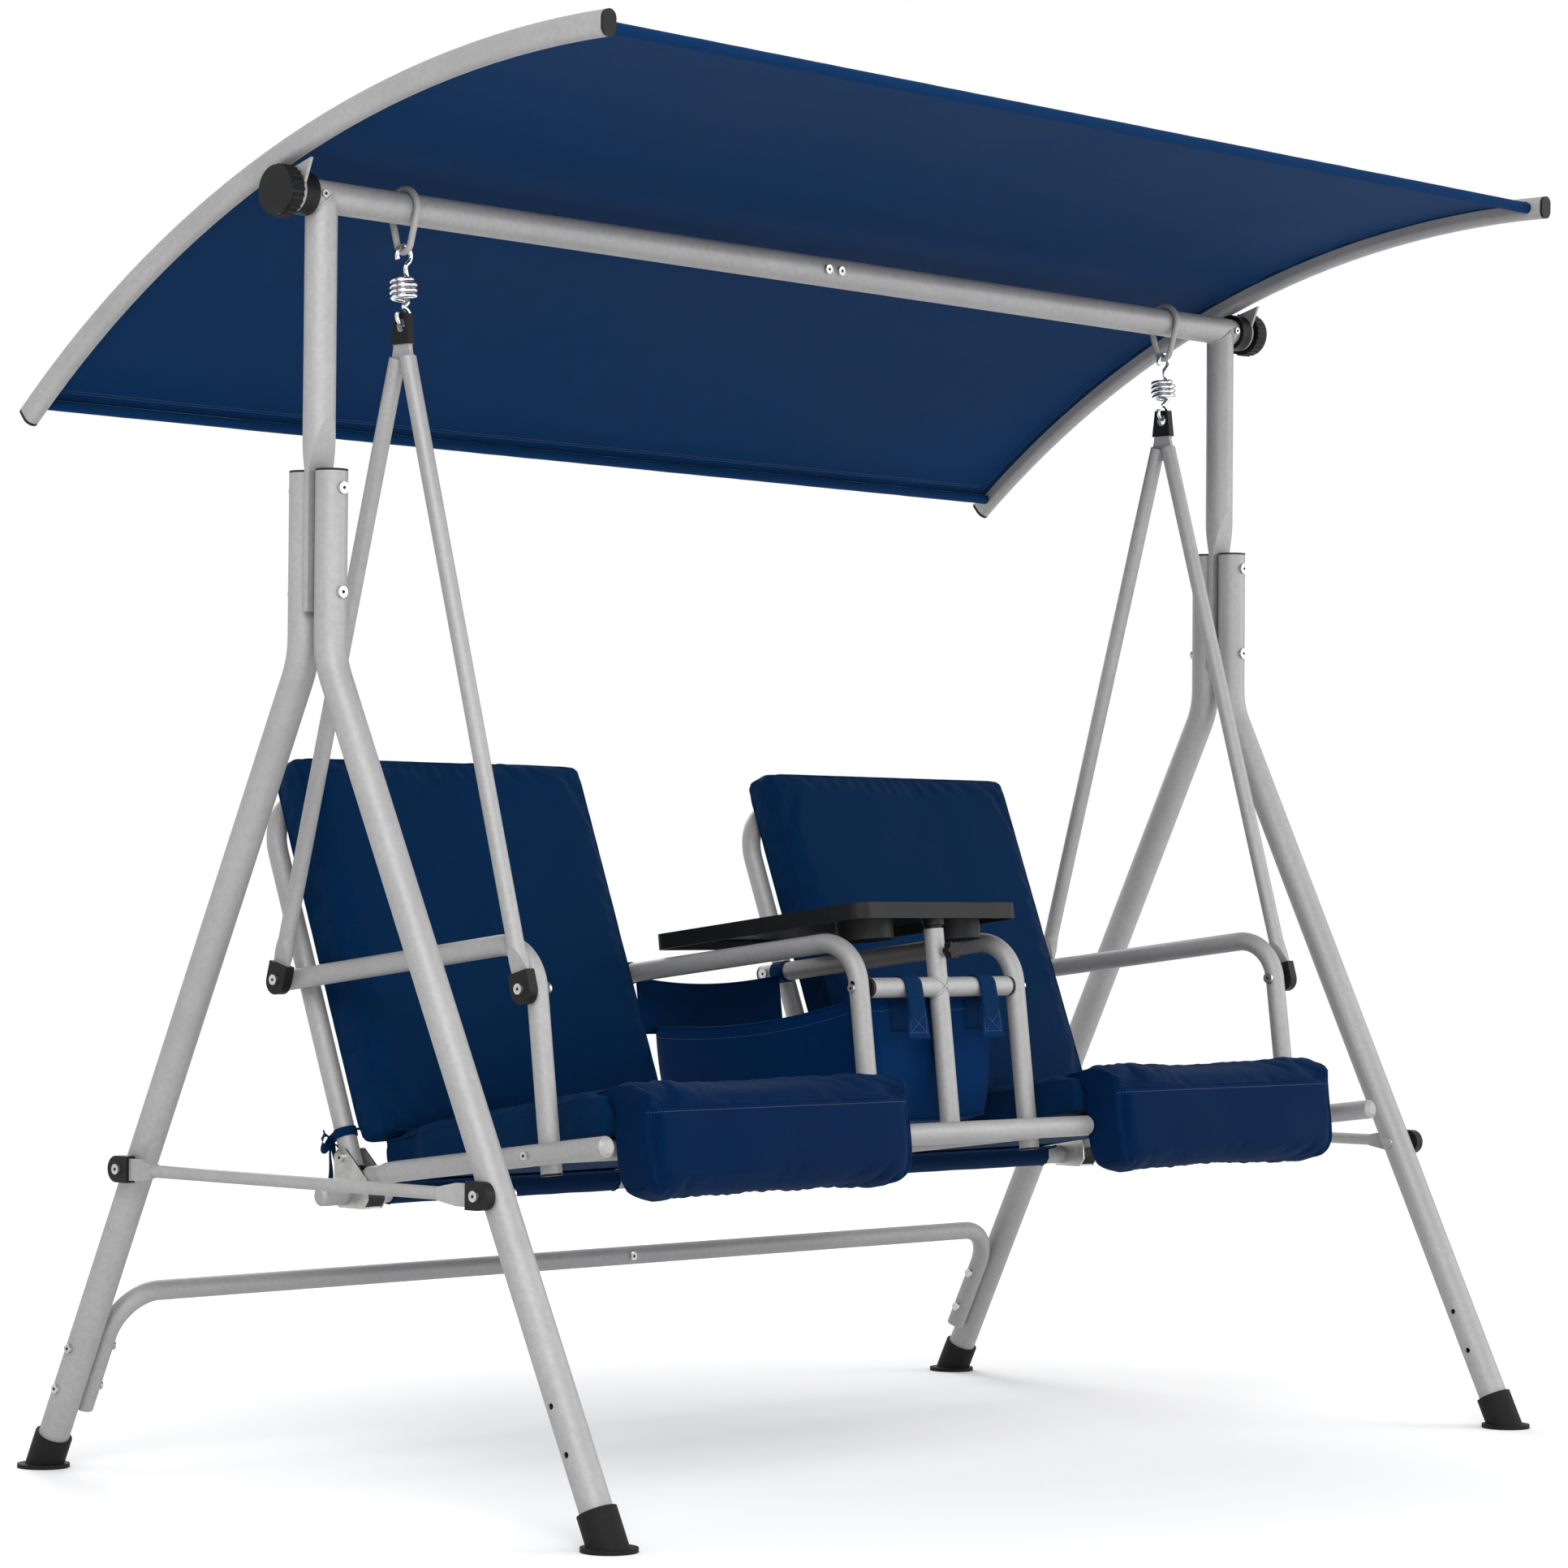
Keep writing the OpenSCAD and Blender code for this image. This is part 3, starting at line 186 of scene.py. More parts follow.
def moulded_plastic(name="black_plastic", rgb=(0.0065, 0.0067, 0.0072), low=0.42, high=0.58,
                    grain=1400.0, strength=0.22):
    """Satin charcoal plastic with a spark-eroded grain and dusty wear."""
    n = Nodes(name)
    fine = n.noise(grain, 2.0, 0.55)
    wear = n.noise(38.0, 6.0, 0.65)
    colour = n.mix(n.remap(wear, 0.50, 0.75, 0.0, 0.6), shade(rgb), shade(rgb, 1.9))
    rough = n.remap(n.math("ADD", n.math("MULTIPLY", fine, 0.6), n.math("MULTIPLY", wear, 0.4)),
                    0.3, 0.7, low, high)
    return n.finish(Base_Color=colour, Roughness=rough, Specular_IOR_Level=0.17,
                    Normal=n.bump(fine, strength, 0.0004))


def woven(name, rgb, pitch, uv="weave", depth=0.5, sheen=0.25, slub=0.35, rough=0.82):
    """Plain-weave cloth: warp and weft threads cross over and under in the piece's own UV map."""
    n = Nodes(name)
    where = n.node("ShaderNodeUVMap", uv_map=uv).outputs[0]
    split = n.node("ShaderNodeSeparateXYZ", {0: where})
    u, v = split.outputs[0], split.outputs[1]
    across = n.math("MULTIPLY", u, math.pi / pitch)
    along = n.math("MULTIPLY", v, math.pi / pitch)
    warp = n.math("ABSOLUTE", n.math("SINE", across))
    weft = n.math("ABSOLUTE", n.math("SINE", along))
    cu = n.math("FLOOR", n.math("MULTIPLY", u, 1.0 / pitch))
    cv = n.math("FLOOR", n.math("MULTIPLY", v, 1.0 / pitch))
    over = n.math("MODULO", n.math("ABSOLUTE", n.math("ADD", cu, cv)), 2.0)
    under = n.math("SUBTRACT", 1.0, over)
    height = n.math("ADD", n.math("MULTIPLY", warp, over), n.math("MULTIPLY", weft, under))
    scaled = n.node("ShaderNodeVectorMath", {0: where, 1: (1.0, 0.05, 1.0)}, operation="MULTIPLY")
    streak = n.noise(420.0, 3.0, 0.6, scaled.outputs[0])
    crossed = n.node("ShaderNodeVectorMath", {0: where, 1: (0.05, 1.0, 1.0)}, operation="MULTIPLY")
    streak_b = n.noise(420.0, 3.0, 0.6, crossed.outputs[0])
    slubs = n.math("ADD", n.math("MULTIPLY", streak, over), n.math("MULTIPLY", streak_b, under))
    fade = n.noise(3.0, 4.0, 0.6)
    fuzz = n.noise(700.0, 2.0, 0.5)
    # Painted shade in the weave: colour darkens where thread height is low, between the threads, and
    # is lighter on their crowns.
    dark = n.mix(n.remap(height, 0.0, 0.8, 0.0, 1.0), shade(rgb, 0.42), shade(rgb, 1.08))
    threads = n.mix(n.remap(slubs, 0.42, 0.66, 0.0, slub), dark, shade(rgb, 1.9))
    faded = n.mix(n.remap(fade, 0.38, 0.68, 0.0, 0.28), threads,
                  (rgb[0] * 1.3 + 0.001, rgb[1] * 1.25 + 0.002, rgb[2] * 1.15 + 0.003, 1.0))
    lift = n.math("ADD", height, n.math("MULTIPLY", fuzz, 0.35))
    tint = (0.15, 0.42, 1.0)
    roughness = n.remap(n.math("ADD", fade, slubs), 0.7, 1.3, rough - 0.06, rough + 0.08)
    return n.finish(Base_Color=faded, Roughness=roughness, Sheen_Weight=sheen,
                    Sheen_Roughness=0.5, Sheen_Tint=shade(tint), Specular_Tint=shade(tint),
                    Specular_IOR_Level=0.10, Normal=n.bump(lift, depth, 0.0004))


def thread_material(name, rgb):
    """Twisted sewing thread."""
    n = Nodes(name)
    twist = n.noise(1800.0, 2.0, 0.5)
    colour = n.mix(twist, shade(rgb, 0.7), shade(rgb, 1.3))
    return n.finish(Base_Color=colour, Roughness=0.65, Sheen_Weight=0.2,
                    Normal=n.bump(twist, 0.4, 0.0003))


CANOPY_RGB = (0.0008, 0.0172, 0.0640)
CUSHION_RGB = (0.0004, 0.0118, 0.0430)
BAG_RGB = (0.0002, 0.0140, 0.0600)

SILVER = powder_coat()
ZINC = zinc()
CHROME = chrome()
PLASTIC = moulded_plastic()
TRAY_PLASTIC = moulded_plastic("tray_plastic", (0.0060, 0.0062, 0.0066), 0.40, 0.56, 1100.0, 0.3)
RUBBER = moulded_plastic("foot_rubber", (0.0065, 0.0065, 0.0068), 0.60, 0.80, 700.0, 0.4)
CANOPY_CLOTH = woven("canopy_cloth", CANOPY_RGB, 0.00085, depth=0.35, sheen=0.03, rough=0.80)
CUSHION_CLOTH = woven("cushion_cloth", CUSHION_RGB, 0.00095, depth=0.55, sheen=0.04)
ROLL_CLOTH = woven("front_roll_cloth", (0.0002, 0.0075, 0.0335), 0.00095, depth=0.5, sheen=0.04)
SLING_CLOTH = woven("sling_mesh", (0.0008, 0.0115, 0.0420), 0.0018, depth=0.8, sheen=0.03, rough=0.78)
BAG_CLOTH = woven("bag_cloth", BAG_RGB, 0.00075, depth=0.45, sheen=0.03, rough=0.80)
WEBBING = woven("strap_webbing", (0.0008, 0.0130, 0.0470), 0.0021, depth=0.9, sheen=0.04)
EDGE_TAPE = woven("edge_tape", (0.0005, 0.0080, 0.0300), 0.0012, depth=0.6, sheen=0.03)
THREAD = thread_material("navy_thread", (0.006, 0.024, 0.085))
# Painted shade: a near-black flat for the inside of the bolt-head sockets.
SOCKET_SHADE = moulded_plastic("socket_shadow", (0.012, 0.012, 0.012), 0.5, 0.7)


# ---------------------------------------------------------------- mesh helpers


def mesh_piece(name, verts, faces, material, uvs=None, smooth=True):
    """A mesh object; uvs holds one (u, v) in metres for each vertex."""
    mesh = bpy.data.meshes.new(name)
    mesh.from_pydata([tuple(v) for v in verts], [], faces)
    mesh.validate()
    mesh.polygons.foreach_set("use_smooth", [smooth] * len(mesh.polygons))
    if uvs:
        layer = mesh.uv_layers.new(name="weave")
        for loop in mesh.loops:
            layer.data[loop.index].uv = uvs[loop.vertex_index]
    obj = bpy.data.objects.new(name, mesh)
    bpy.context.scene.collection.objects.link(obj)
    obj.data.materials.append(material)
    return obj


def join_as(name, objects):
    """Several pieces of one kind as one object."""
    for other in bpy.context.selected_objects:
        other.select_set(False)
    for obj in objects:
        obj.select_set(True)
    bpy.context.view_layer.objects.active = objects[0]
    bpy.ops.object.join()
    joined = bpy.context.view_layer.objects.active
    joined.name = name
    joined.data.name = name
    return joined


def belongs(body, slot, *pieces):
    """Each piece rides on a body; slot is not used."""
    for piece in pieces:
        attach(piece, body)


def apply_modifiers(obj):
    """The mesh as its modifiers leave it."""
    bpy.context.view_layer.update()
    done = bpy.data.meshes.new_from_object(obj.evaluated_get(
        bpy.context.evaluated_depsgraph_get()))
    obj.modifiers.clear()
    obj.data = done
    return obj


def smooth_noise(x, y, z, scale):
    return noise.noise(Vector((x * scale, y * scale, z * scale)))


def arc_points(centre, radius, start, end, steps):
    """Points of a circular arc in a plane, angles in degrees."""
    found = []
    for i in range(steps + 1):
        a = math.radians(start + (end - start) * i / steps)
        found.append((centre[0] + radius * math.cos(a), centre[1] + radius * math.sin(a)))
    return found


def rounded_outline(corners, steps=5):
    """A closed outline from (a, b, radius) corners, each rounded with a quadratic curve."""
    found = []
    count = len(corners)
    for i, (a, b, r) in enumerate(corners):
        here = Vector((a, b))
        before = (Vector(corners[i - 1][:2]) - here).normalized()
        after = (Vector(corners[(i + 1) % count][:2]) - here).normalized()
        first, last = here + before * r, here + after * r
        for k in range(steps + 1):
            t = k / steps
            found.append(first * (1 - t) ** 2 + here * 2 * t * (1 - t) + last * t * t)
    return found


def resample(points, pitch, closed=False):
    """The same polyline with points a pitch apart."""
    line = [Vector(p) for p in points]
    if closed:
        line.append(line[0].copy())
    lengths = [(line[i + 1] - line[i]).length for i in range(len(line) - 1)]
    total = sum(lengths)
    count = max(2, round(total / pitch))
    found, k, passed = [], 0, 0.0
    for i in range(count if closed else count + 1):
        target = total * i / count
        while k < len(lengths) - 1 and passed + lengths[k] < target:
            passed += lengths[k]
            k += 1
        share = (target - passed) / max(lengths[k], 1e-9)
        found.append(line[k].lerp(line[k + 1], min(max(share, 0.0), 1.0)))
    return found


def ring_faces(count, sides, start=0, closed=False):
    """Quads between rings of the same number of points, numbered from start."""
    faces = []
    for i in range(count if closed else count - 1):
        a, b = start + i * sides, start + (i + 1) % count * sides
        for k in range(sides):
            m = (k + 1) % sides
            faces.append((a + k, a + m, b + m, b + k))
    return faces


def heading(line, i):
    """The way an open line runs at point i."""
    return (line[min(i + 1, len(line) - 1)] - line[max(i - 1, 0)]).normalized()


def tube_mesh(name, points, radius, material, closed=False, sides=10):
    """A round bead along 3-D points, with a UV that runs along and round it."""
    line = [Vector(p) for p in points]
    count = len(line)
    verts, uvs = [], []
    up = Vector((0, 0, 1))
    travelled = 0.0
    for i, p in enumerate(line):
        if closed:
            ahead = (line[(i + 1) % count] - line[i - 1]).normalized()
        else:
            ahead = heading(line, i)
        side = ahead.cross(up)
        if side.length < 0.2:
            side = ahead.cross(Vector((1, 0, 0)))
        side.normalize()
        up = side.cross(ahead).normalized()
        travelled += (p - line[i - 1]).length if i else 0.0
        for k in range(sides):
            a = 2 * math.pi * k / sides
            verts.append(p + side * radius * math.cos(a) + up * radius * math.sin(a))
            uvs.append((travelled, radius * a))
    faces = ring_faces(count, sides, closed=closed)
    if not closed:
        faces.append(tuple(range(sides - 1, -1, -1)))
        faces.append(tuple((count - 1) * sides + k for k in range(sides)))
    return mesh_piece(name, verts, faces, material, uvs)


def ribbon(name, points, normals, width, thickness, material, wave=0.0):
    """A flat band along points; normals give the way its face looks."""
    line = [Vector(p) for p in points]
    count = len(line)
    verts, faces, uvs = [], [], []
    travelled = 0.0
    across = 9
    for i, p in enumerate(line):
        ahead = heading(line, i)
        face = Vector(normals[i]).normalized()
        side = ahead.cross(face).normalized()
        travelled += (p - line[i - 1]).length if i else 0.0
        for level in (0.5, -0.5):
            for k in range(across):
                t = k / (across - 1) - 0.5
                ripple = wave * smooth_noise(travelled, t * 0.05, 0.3, 38.0)
                edge = 1.0 - 0.35 * (2 * abs(t)) ** 8
                verts.append(p + side * width * t + face * (thickness * level * edge + ripple))
                uvs.append((width * t, travelled))
    ring = 2 * across
    for i in range(count - 1):
        a, b = i * ring, (i + 1) * ring
        for k in range(across - 1):
            faces.append((a + k, a + k + 1, b + k + 1, b + k))
            faces.append((a + across + k + 1, a + across + k, b + across + k, b + across + k + 1))
        faces.append((a + across, a, b, b + across))
        faces.append((a + across - 1, a + ring - 1, b + ring - 1, b + across - 1))
    last = (count - 1) * ring
    for k in range(across - 1):
        faces.append((k + 1, k, across + k, across + k + 1))
        faces.append((last + k, last + k + 1, last + across + k + 1, last + across + k))
    return mesh_piece(name, verts, faces, material, uvs)


def stitch_row(name, points, normals, pitch=0.0042, length=0.0029, radius=0.00042):
    """A row of thread stitches lying on a surface along points."""
    line = [Vector(p) for p in points]
    spots = []
    passed, target = 0.0, 0.0
    for i in range(len(line) - 1):
        step = line[i + 1] - line[i]
        while target <= passed + step.length and step.length > 1e-9:
            share = (target - passed) / step.length
            spots.append((line[i].lerp(line[i + 1], share), step.normalized(), Vector(normals[i])))
            target += pitch
        passed += step.length
    verts, faces = [], []
    rings = ((-0.5, 0.35), (-0.34, 0.9), (0.0, 1.0), (0.34, 0.9), (0.5, 0.35))
    sides = 6
    for centre, ahead, face in spots:
        base = len(verts)
        side = ahead.cross(face).normalized()
        for along, swell in rings:
            for k in range(sides):
                a = 2 * math.pi * k / sides
                lift = face * (math.sin(a) * radius * swell + radius * 0.4 * swell)
                verts.append(centre + ahead * along * length + lift
                             + side * radius * swell * math.cos(a))
        faces += ring_faces(len(rings), sides, base)
        faces.append(tuple(base + k for k in range(sides - 1, -1, -1)))
        faces.append(tuple(base + (len(rings) - 1) * sides + k for k in range(sides)))
    return mesh_piece(name, verts, faces, THREAD)


# ---------------------------------------------------------------- stuffed pieces


def box_uv(obj, rest, frame_matrix):
    """Weave UV in metres: each face takes the plane it looks along in the piece's own frame."""
    inverse = frame_matrix.inverted()
    local = [inverse @ p for p in rest]
    layer = obj.data.uv_layers.get("weave") or obj.data.uv_layers.new(name="weave")
    turn = inverse.to_3x3()
    for face in obj.data.polygons:
        way = turn @ face.normal
        size = [abs(way.x), abs(way.y), abs(way.z)]
        drop = size.index(max(size))
        for loop in face.loop_indices:
            p = local[obj.data.loops[loop].vertex_index]
            if drop == 0:
                layer.data[loop].uv = (p.y, p.z)
            elif drop == 1:
                layer.data[loop].uv = (p.x, p.z)
            else:
                layer.data[loop].uv = (p.x, p.y)


def block(name, outline, half_width, place, voxel):
    """A closed solid: an outline in the (v, n) plane carried across X, remeshed evenly."""
    bm = bmesh.new()
    left = [bm.verts.new((-half_width, p[0], p[1])) for p in outline]
    right = [bm.verts.new((half_width, p[0], p[1])) for p in outline]
    count = len(outline)
    for i in range(count):
        j = (i + 1) % count
        bm.faces.new((left[i], left[j], right[j], right[i]))
    bm.faces.new(left[::-1])
    bm.faces.new(right)
    bmesh.ops.recalc_face_normals(bm, faces=bm.faces)
    mesh = bpy.data.meshes.new(name)
    bm.to_mesh(mesh)
    bm.free()
    obj = bpy.data.objects.new(name, mesh)
    bpy.context.scene.collection.objects.link(obj)
    remesh = obj.modifiers.new("even", "REMESH")
    remesh.mode = "VOXEL"
    remesh.voxel_size = voxel
    apply_modifiers(obj)
    obj.data.transform(place)
    return obj


def inflate(obj, pinned, pressure, cap):
    """Cloth simulation under inner pressure; no point moves more than cap."""
    rest = [v.co.copy() for v in obj.data.vertices]
    group = obj.vertex_groups.new(name="pins")
    group.add(pinned, 1.0, "REPLACE")
    cloth = obj.modifiers.new("cloth", "CLOTH")
    settings = cloth.settings
    settings.quality = 4
    settings.mass = 0.25
    settings.tension_stiffness = 12
    settings.compression_stiffness = 6
    settings.shear_stiffness = 4
    settings.bending_stiffness = 0.25
    settings.use_pressure = True
    settings.uniform_pressure_force = pressure
    settings.effector_weights.gravity = 0.0
    settings.shrink_min = -0.035
    settings.vertex_group_mass = "pins"
    cloth.collision_settings.use_self_collision = False
    cloth.collision_settings.use_collision = False
    cloth.point_cache.frame_start = 1
    cloth.point_cache.frame_end = SIM_FRAMES
    scene = bpy.context.scene
    for step in range(1, SIM_FRAMES + 1):
        scene.frame_set(step)
    apply_modifiers(obj)
    scene.frame_set(1)
    for vertex, start in zip(obj.data.vertices, rest):
        move = vertex.co - start
        if move.length > cap:
            vertex.co = start + move.normalized() * cap
    obj.vertex_groups.clear()
    return rest


def narrowed(x, v, n):
    """Half-width limit of the seat pad, squeezed between the brackets at its rear."""
    share = min(max((v + 0.085) / 0.040, 0.0), 1.0)
    ease = share * share * (3 - 2 * share)
    return x * (1 - ease * (1 - (PAD_REAR_HALF - 0.004) / (CUSHION_W / 2)))


def roll_narrowed(x, v, n):
    """The front roll's lower corners are rounded off as seen from the front."""
    radius = 0.034
    fall = max(-0.061 + radius - n, 0.0)
    inset = radius - math.sqrt(max(radius * radius - fall * fall, 0.0))
    return x * (1 - min(inset, 0.8 * radius) / (CUSHION_W / 2 - 0.015))


def stuffed(name, outline, half_width, place, material, rules, voxel=0.006, pressure=4.0,
            cap=0.008, seed=0.0, squeeze=None):
    """A cushion: remeshed block, crowned by pressure with its seams held, puckered at the seams.

    rules(x, v, n) returns (held, distance to the nearest seam) for a point in the piece's frame."""
    obj = block(name, outline, half_width, place, voxel)
    inverse = place.inverted()
    local = [inverse @ v.co for v in obj.data.vertices]
    held = [i for i, p in enumerate(local) if rules(p.x, p.y, p.z)[0]]
    if squeeze:
        for vertex, p in zip(obj.data.vertices, local):
            vertex.co = place @ Vector((squeeze(p.x, p.y, p.z), p.y, p.z))
    normals = [v.normal.copy() for v in obj.data.vertices]
    inflate(obj, held, pressure, cap)
    for i, vertex in enumerate(obj.data.vertices):
        p = local[i]
        hold, far = rules(p.x, p.y, p.z)
        wide = smooth_noise(p.x + seed, p.y, p.z, 9.0) * 0.0022
        ripple = smooth_noise(p.x * 0.4 + seed, p.y * 0.4, p.z * 0.4 + seed, 34.0) * 0.0016
        along = p.x * 1.0 + p.y * 0.9 + p.z * 0.9
        pucker = math.sin(along * 2 * math.pi / 0.031 + 5 * smooth_noise(p.x, p.y, p.z, 12.0))
        near = math.exp(-far / 0.014)
        crown = 0.0035 * (1.0 - math.exp(-far / 0.05)) if not hold else 0.0
        vertex.co += normals[i] * ((wide + ripple) * (0.0 if hold else 1.0)
                                   + crown - near * 0.0006 * (1 + pucker))
    subdivide = obj.modifiers.new("fine", "SUBSURF")
    subdivide.levels = 1
    subdivide.render_levels = 1
    apply_modifiers(obj)
    obj.data.materials.clear()
    obj.data.materials.append(material)
    obj.data.polygons.foreach_set("use_smooth", [True] * len(obj.data.polygons))
    box_uv(obj, [v.co.copy() for v in obj.data.vertices], place)
    return obj


def sewn_line(obj, points, lift=0.0, reach=3):
    """A line of points moved on to obj's surface, smoothed along its length."""
    found = []
    for point in points:
        _, where, normal, _ = obj.closest_point_on_mesh(Vector(point))
        found.append(where + normal * lift)
    count = len(found)
    smooth = []
    for i in range(count):
        near = [found[(i + k) % count] for k in range(-reach, reach + 1)]
        smooth.append(sum(near, Vector()) / len(near))
    return smooth


def snapped_line(obj, rays, reach=0.2):
    """Points and normals where rays, each a start and a direction, meet obj."""
    points, normals = [], []
    for start, direction in rays:
        hit, where, normal, _ = obj.ray_cast(Vector(start), Vector(direction).normalized(),
                                             distance=reach)
        if hit:
            points.append(where)
            normals.append(normal)
    return points, normals


def seat_outline():
    """Section of the seat pad, v rearwards and n up."""
    slope = math.tan(math.radians(2.56))
    front, rear, low = -0.392, 0.005, 0.0172
    drop = (rear - front) * slope
    return rounded_outline([
        (front, low, 0.010), (rear, low - drop, 0.012),
        (rear, low - drop + CUSHION_T, 0.014), (front, low + CUSHION_T, 0.010)])


def roll_outline():
    """Section of the deep front roll: upright face, crowned top that laps on to the pad."""
    return rounded_outline([
        (-0.444, -0.061, 0.026), (-0.392, -0.061, 0.018), (-0.392, 0.050, 0.004),
        (-0.350, 0.052, 0.006), (-0.344, 0.0640, 0.006), (-0.425, 0.0765, 0.030),
        (-0.445, 0.058, 0.012)])


def back_outline():
    """Section of the back cushion, v through its thickness and n up the back."""
    return rounded_outline([
        (-0.063, BACK_LOW, 0.012), (-0.0172, BACK_LOW, 0.010),
        (-0.0172, BACK_TOP, 0.010), (-0.063, BACK_TOP, 0.012)])


def edge_rules(half_width, flat_side):
    """Seams run round both side panels; the face that lies on the sling is held too."""

    def rules(x, v, n):
        far = half_width - abs(x)
        held = far < 0.004 or flat_side(v, n)
        return held, max(far, 0.0)

    return rules


def welt(name, obj, outline, x, place, material, radius=0.0013):
    """A sewn seam round a side panel's edge, lying on the cushion."""
    flat = [place @ Vector((x, p[0], p[1])) for p in resample(outline, 0.006, closed=True)]
    return tube_mesh(name, sewn_line(obj, flat), radius, material, closed=True)


def seat_cushion(side, name):
    centre = side * SEAT_X
    place = seat_matrix() @ Matrix.Translation((centre, 0, 0))
    pad_rules = edge_rules(CUSHION_W / 2, lambda v, n: n < 0.020 - (v + 0.392) * 0.0447)
    pad = stuffed("seat_pad_" + name, seat_outline(), CUSHION_W / 2, place, CUSHION_CLOTH,
                  pad_rules, pressure=3.5, cap=0.006, seed=3.1 * side, squeeze=narrowed)
    half_roll = CUSHION_W / 2 - 0.015
    roll_rules = edge_rules(half_roll, lambda v, n: v > -0.398)
    roll = stuffed("front_roll_" + name, roll_outline(), half_roll, place, ROLL_CLOTH,
                   roll_rules, voxel=0.005, pressure=4.5, cap=0.007, seed=1.7 * side,
                   squeeze=roll_narrowed)
    extras = []
    for x in (-1, 1):
        extras.append(welt("w", pad, seat_outline(), x * CUSHION_W / 2, place, CUSHION_CLOTH))
        extras.append(welt("w", roll, roll_outline(), x * half_roll, place, ROLL_CLOTH))
    seam_start = [place @ Vector((-half_roll + 0.005 + i * 0.005, -0.50, 0.043))
                  for i in range(int((2 * half_roll - 0.01) / 0.005) + 1)]
    rearwards = place.to_3x3() @ Vector((0, 1, 0))
    seam, _ = snapped_line(roll, [(p, rearwards) for p in seam_start])
    extras.append(tube_mesh("seam", seam, 0.0013, ROLL_CLOTH))
    below = [p - (place.to_3x3() @ Vector((0, 0, 0.0062))) for p in seam_start]
    line, line_normals = snapped_line(roll, [(p, rearwards) for p in below])
    stitches = stitch_row("front_roll_stitches_" + name, line, line_normals)
    welts = join_as("seat_welts_" + name, extras)
    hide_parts("seat_cushion_" + name)
    belongs("seat_unit", "cushion_cloth", pad, roll, welts, stitches)


def back_cushion(side, name):
    centre = side * SEAT_X
    place = back_matrix() @ Matrix.Translation((centre, 0, 0))
    half = CUSHION_W / 2

    def rules(x, v, n):
        far = min(half - abs(x), n - BACK_LOW, BACK_TOP - n)
        edge = v < -0.055 or v > -0.025
        held = (far < 0.004 and edge) or v > -0.021
        return held, max(far, 0.0)

    pad = stuffed("back_pad_" + name, back_outline(), half, place, CUSHION_CLOTH, rules,
                  pressure=4.0, cap=0.008, seed=7.3 * side)
    rim = rounded_outline([(-half, BACK_LOW, 0.012), (half, BACK_LOW, 0.012),
                           (half, BACK_TOP, 0.012), (-half, BACK_TOP, 0.012)])
    extras = []
    for v in (-0.063, -0.018):
        line = [place @ Vector((p[0], v, p[1])) for p in resample(rim, 0.006, closed=True)]
        extras.append(tube_mesh("rim", sewn_line(pad, line), 0.0013, CUSHION_CLOTH, closed=True))
    welts = join_as("back_welts_" + name, extras)
    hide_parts("back_cushion_" + name)
    belongs("seat_unit", "cushion_cloth", pad, welts)


# ---------------------------------------------------------------- sheets of cloth


def thicken(obj, thickness):
    solid = obj.modifiers.new("thickness", "SOLIDIFY")
    solid.thickness = thickness
    solid.offset = 0.0
    return apply_modifiers(obj)


def cloth_sheet(name, rows, material, thickness):
    """A sheet from rows of (point, u, v); Solidify gives it its thickness."""
    width = len(rows[0])
    verts, uvs, faces = [], [], []
    for row in rows:
        for point, u, v in row:
            verts.append(point)
            uvs.append((u, v))
    for i in range(len(rows) - 1):
        for k in range(width - 1):
            a = i * width + k
            faces.append((a, a + 1, a + width + 1, a + width))
    return thicken(mesh_piece(name, verts, faces, material, uvs), thickness)


CANOPY_MID = Vector((0.0, -0.491, 0.129))
CANOPY_R = 1.515
CANOPY_START = math.radians(49.8 + 0.8)
CANOPY_END = math.radians(49.8 + 41.2 - 0.8)
SHEET_LIFT = 0.0069


HEM_TURN = math.radians(21.0)
HEM_STEPS = 13


def canopy_angle(share):
    return CANOPY_START + (CANOPY_END - CANOPY_START) * share


def canopy_out(angle):
    return Vector((0, math.cos(angle), math.sin(angle)))


def canopy_rows(half, across=140, around=96):
    """Rows of the sheet, front to back, with its length along the middle."""
    rows = []
    length = 0.0
    before = None
    for i in range(-HEM_STEPS, around + HEM_STEPS + 1):
        share = min(max(i / around, 0.0), 1.0)
        angle = canopy_angle(share)
        out = canopy_out(angle)
        ahead = Vector((0, -math.sin(angle), math.cos(angle)))
        turn = HEM_TURN * (min(i, 0) + max(i - around, 0))
        inner = math.sin(math.pi * share)
        row = []
        for k in range(across + 1):
            x = -half + 2 * half * k / across
            edge = min(x + half, half - x)
            dip = 0.0065 * inner * (1 - math.exp(-edge / 0.22))
            crease = 0.0012 * smooth_noise(x * 0.25, angle * 2.0, 0.0, 9.0) * inner ** 0.5
            tug = 0.0010 * math.exp(-edge / 0.05) * math.sin(angle * 150 + 3 * inner) * inner
            radius = SHEET_LIFT + 0.0003 * smooth_noise(x, angle, 1.0, 30.0)
            centre = CANOPY_MID + out * (CANOPY_R - dip + crease + tug)
            point = centre + (out * math.cos(turn) + ahead * math.sin(turn)) * radius
            row.append((Vector((x, point.y, point.z)), x, 0.0))
        middle = row[across // 2][0]
        length += (middle - before).length if before is not None else 0.0
        before = middle
        rows.append([(p, u, length) for p, u, _ in row])
    return rows, length


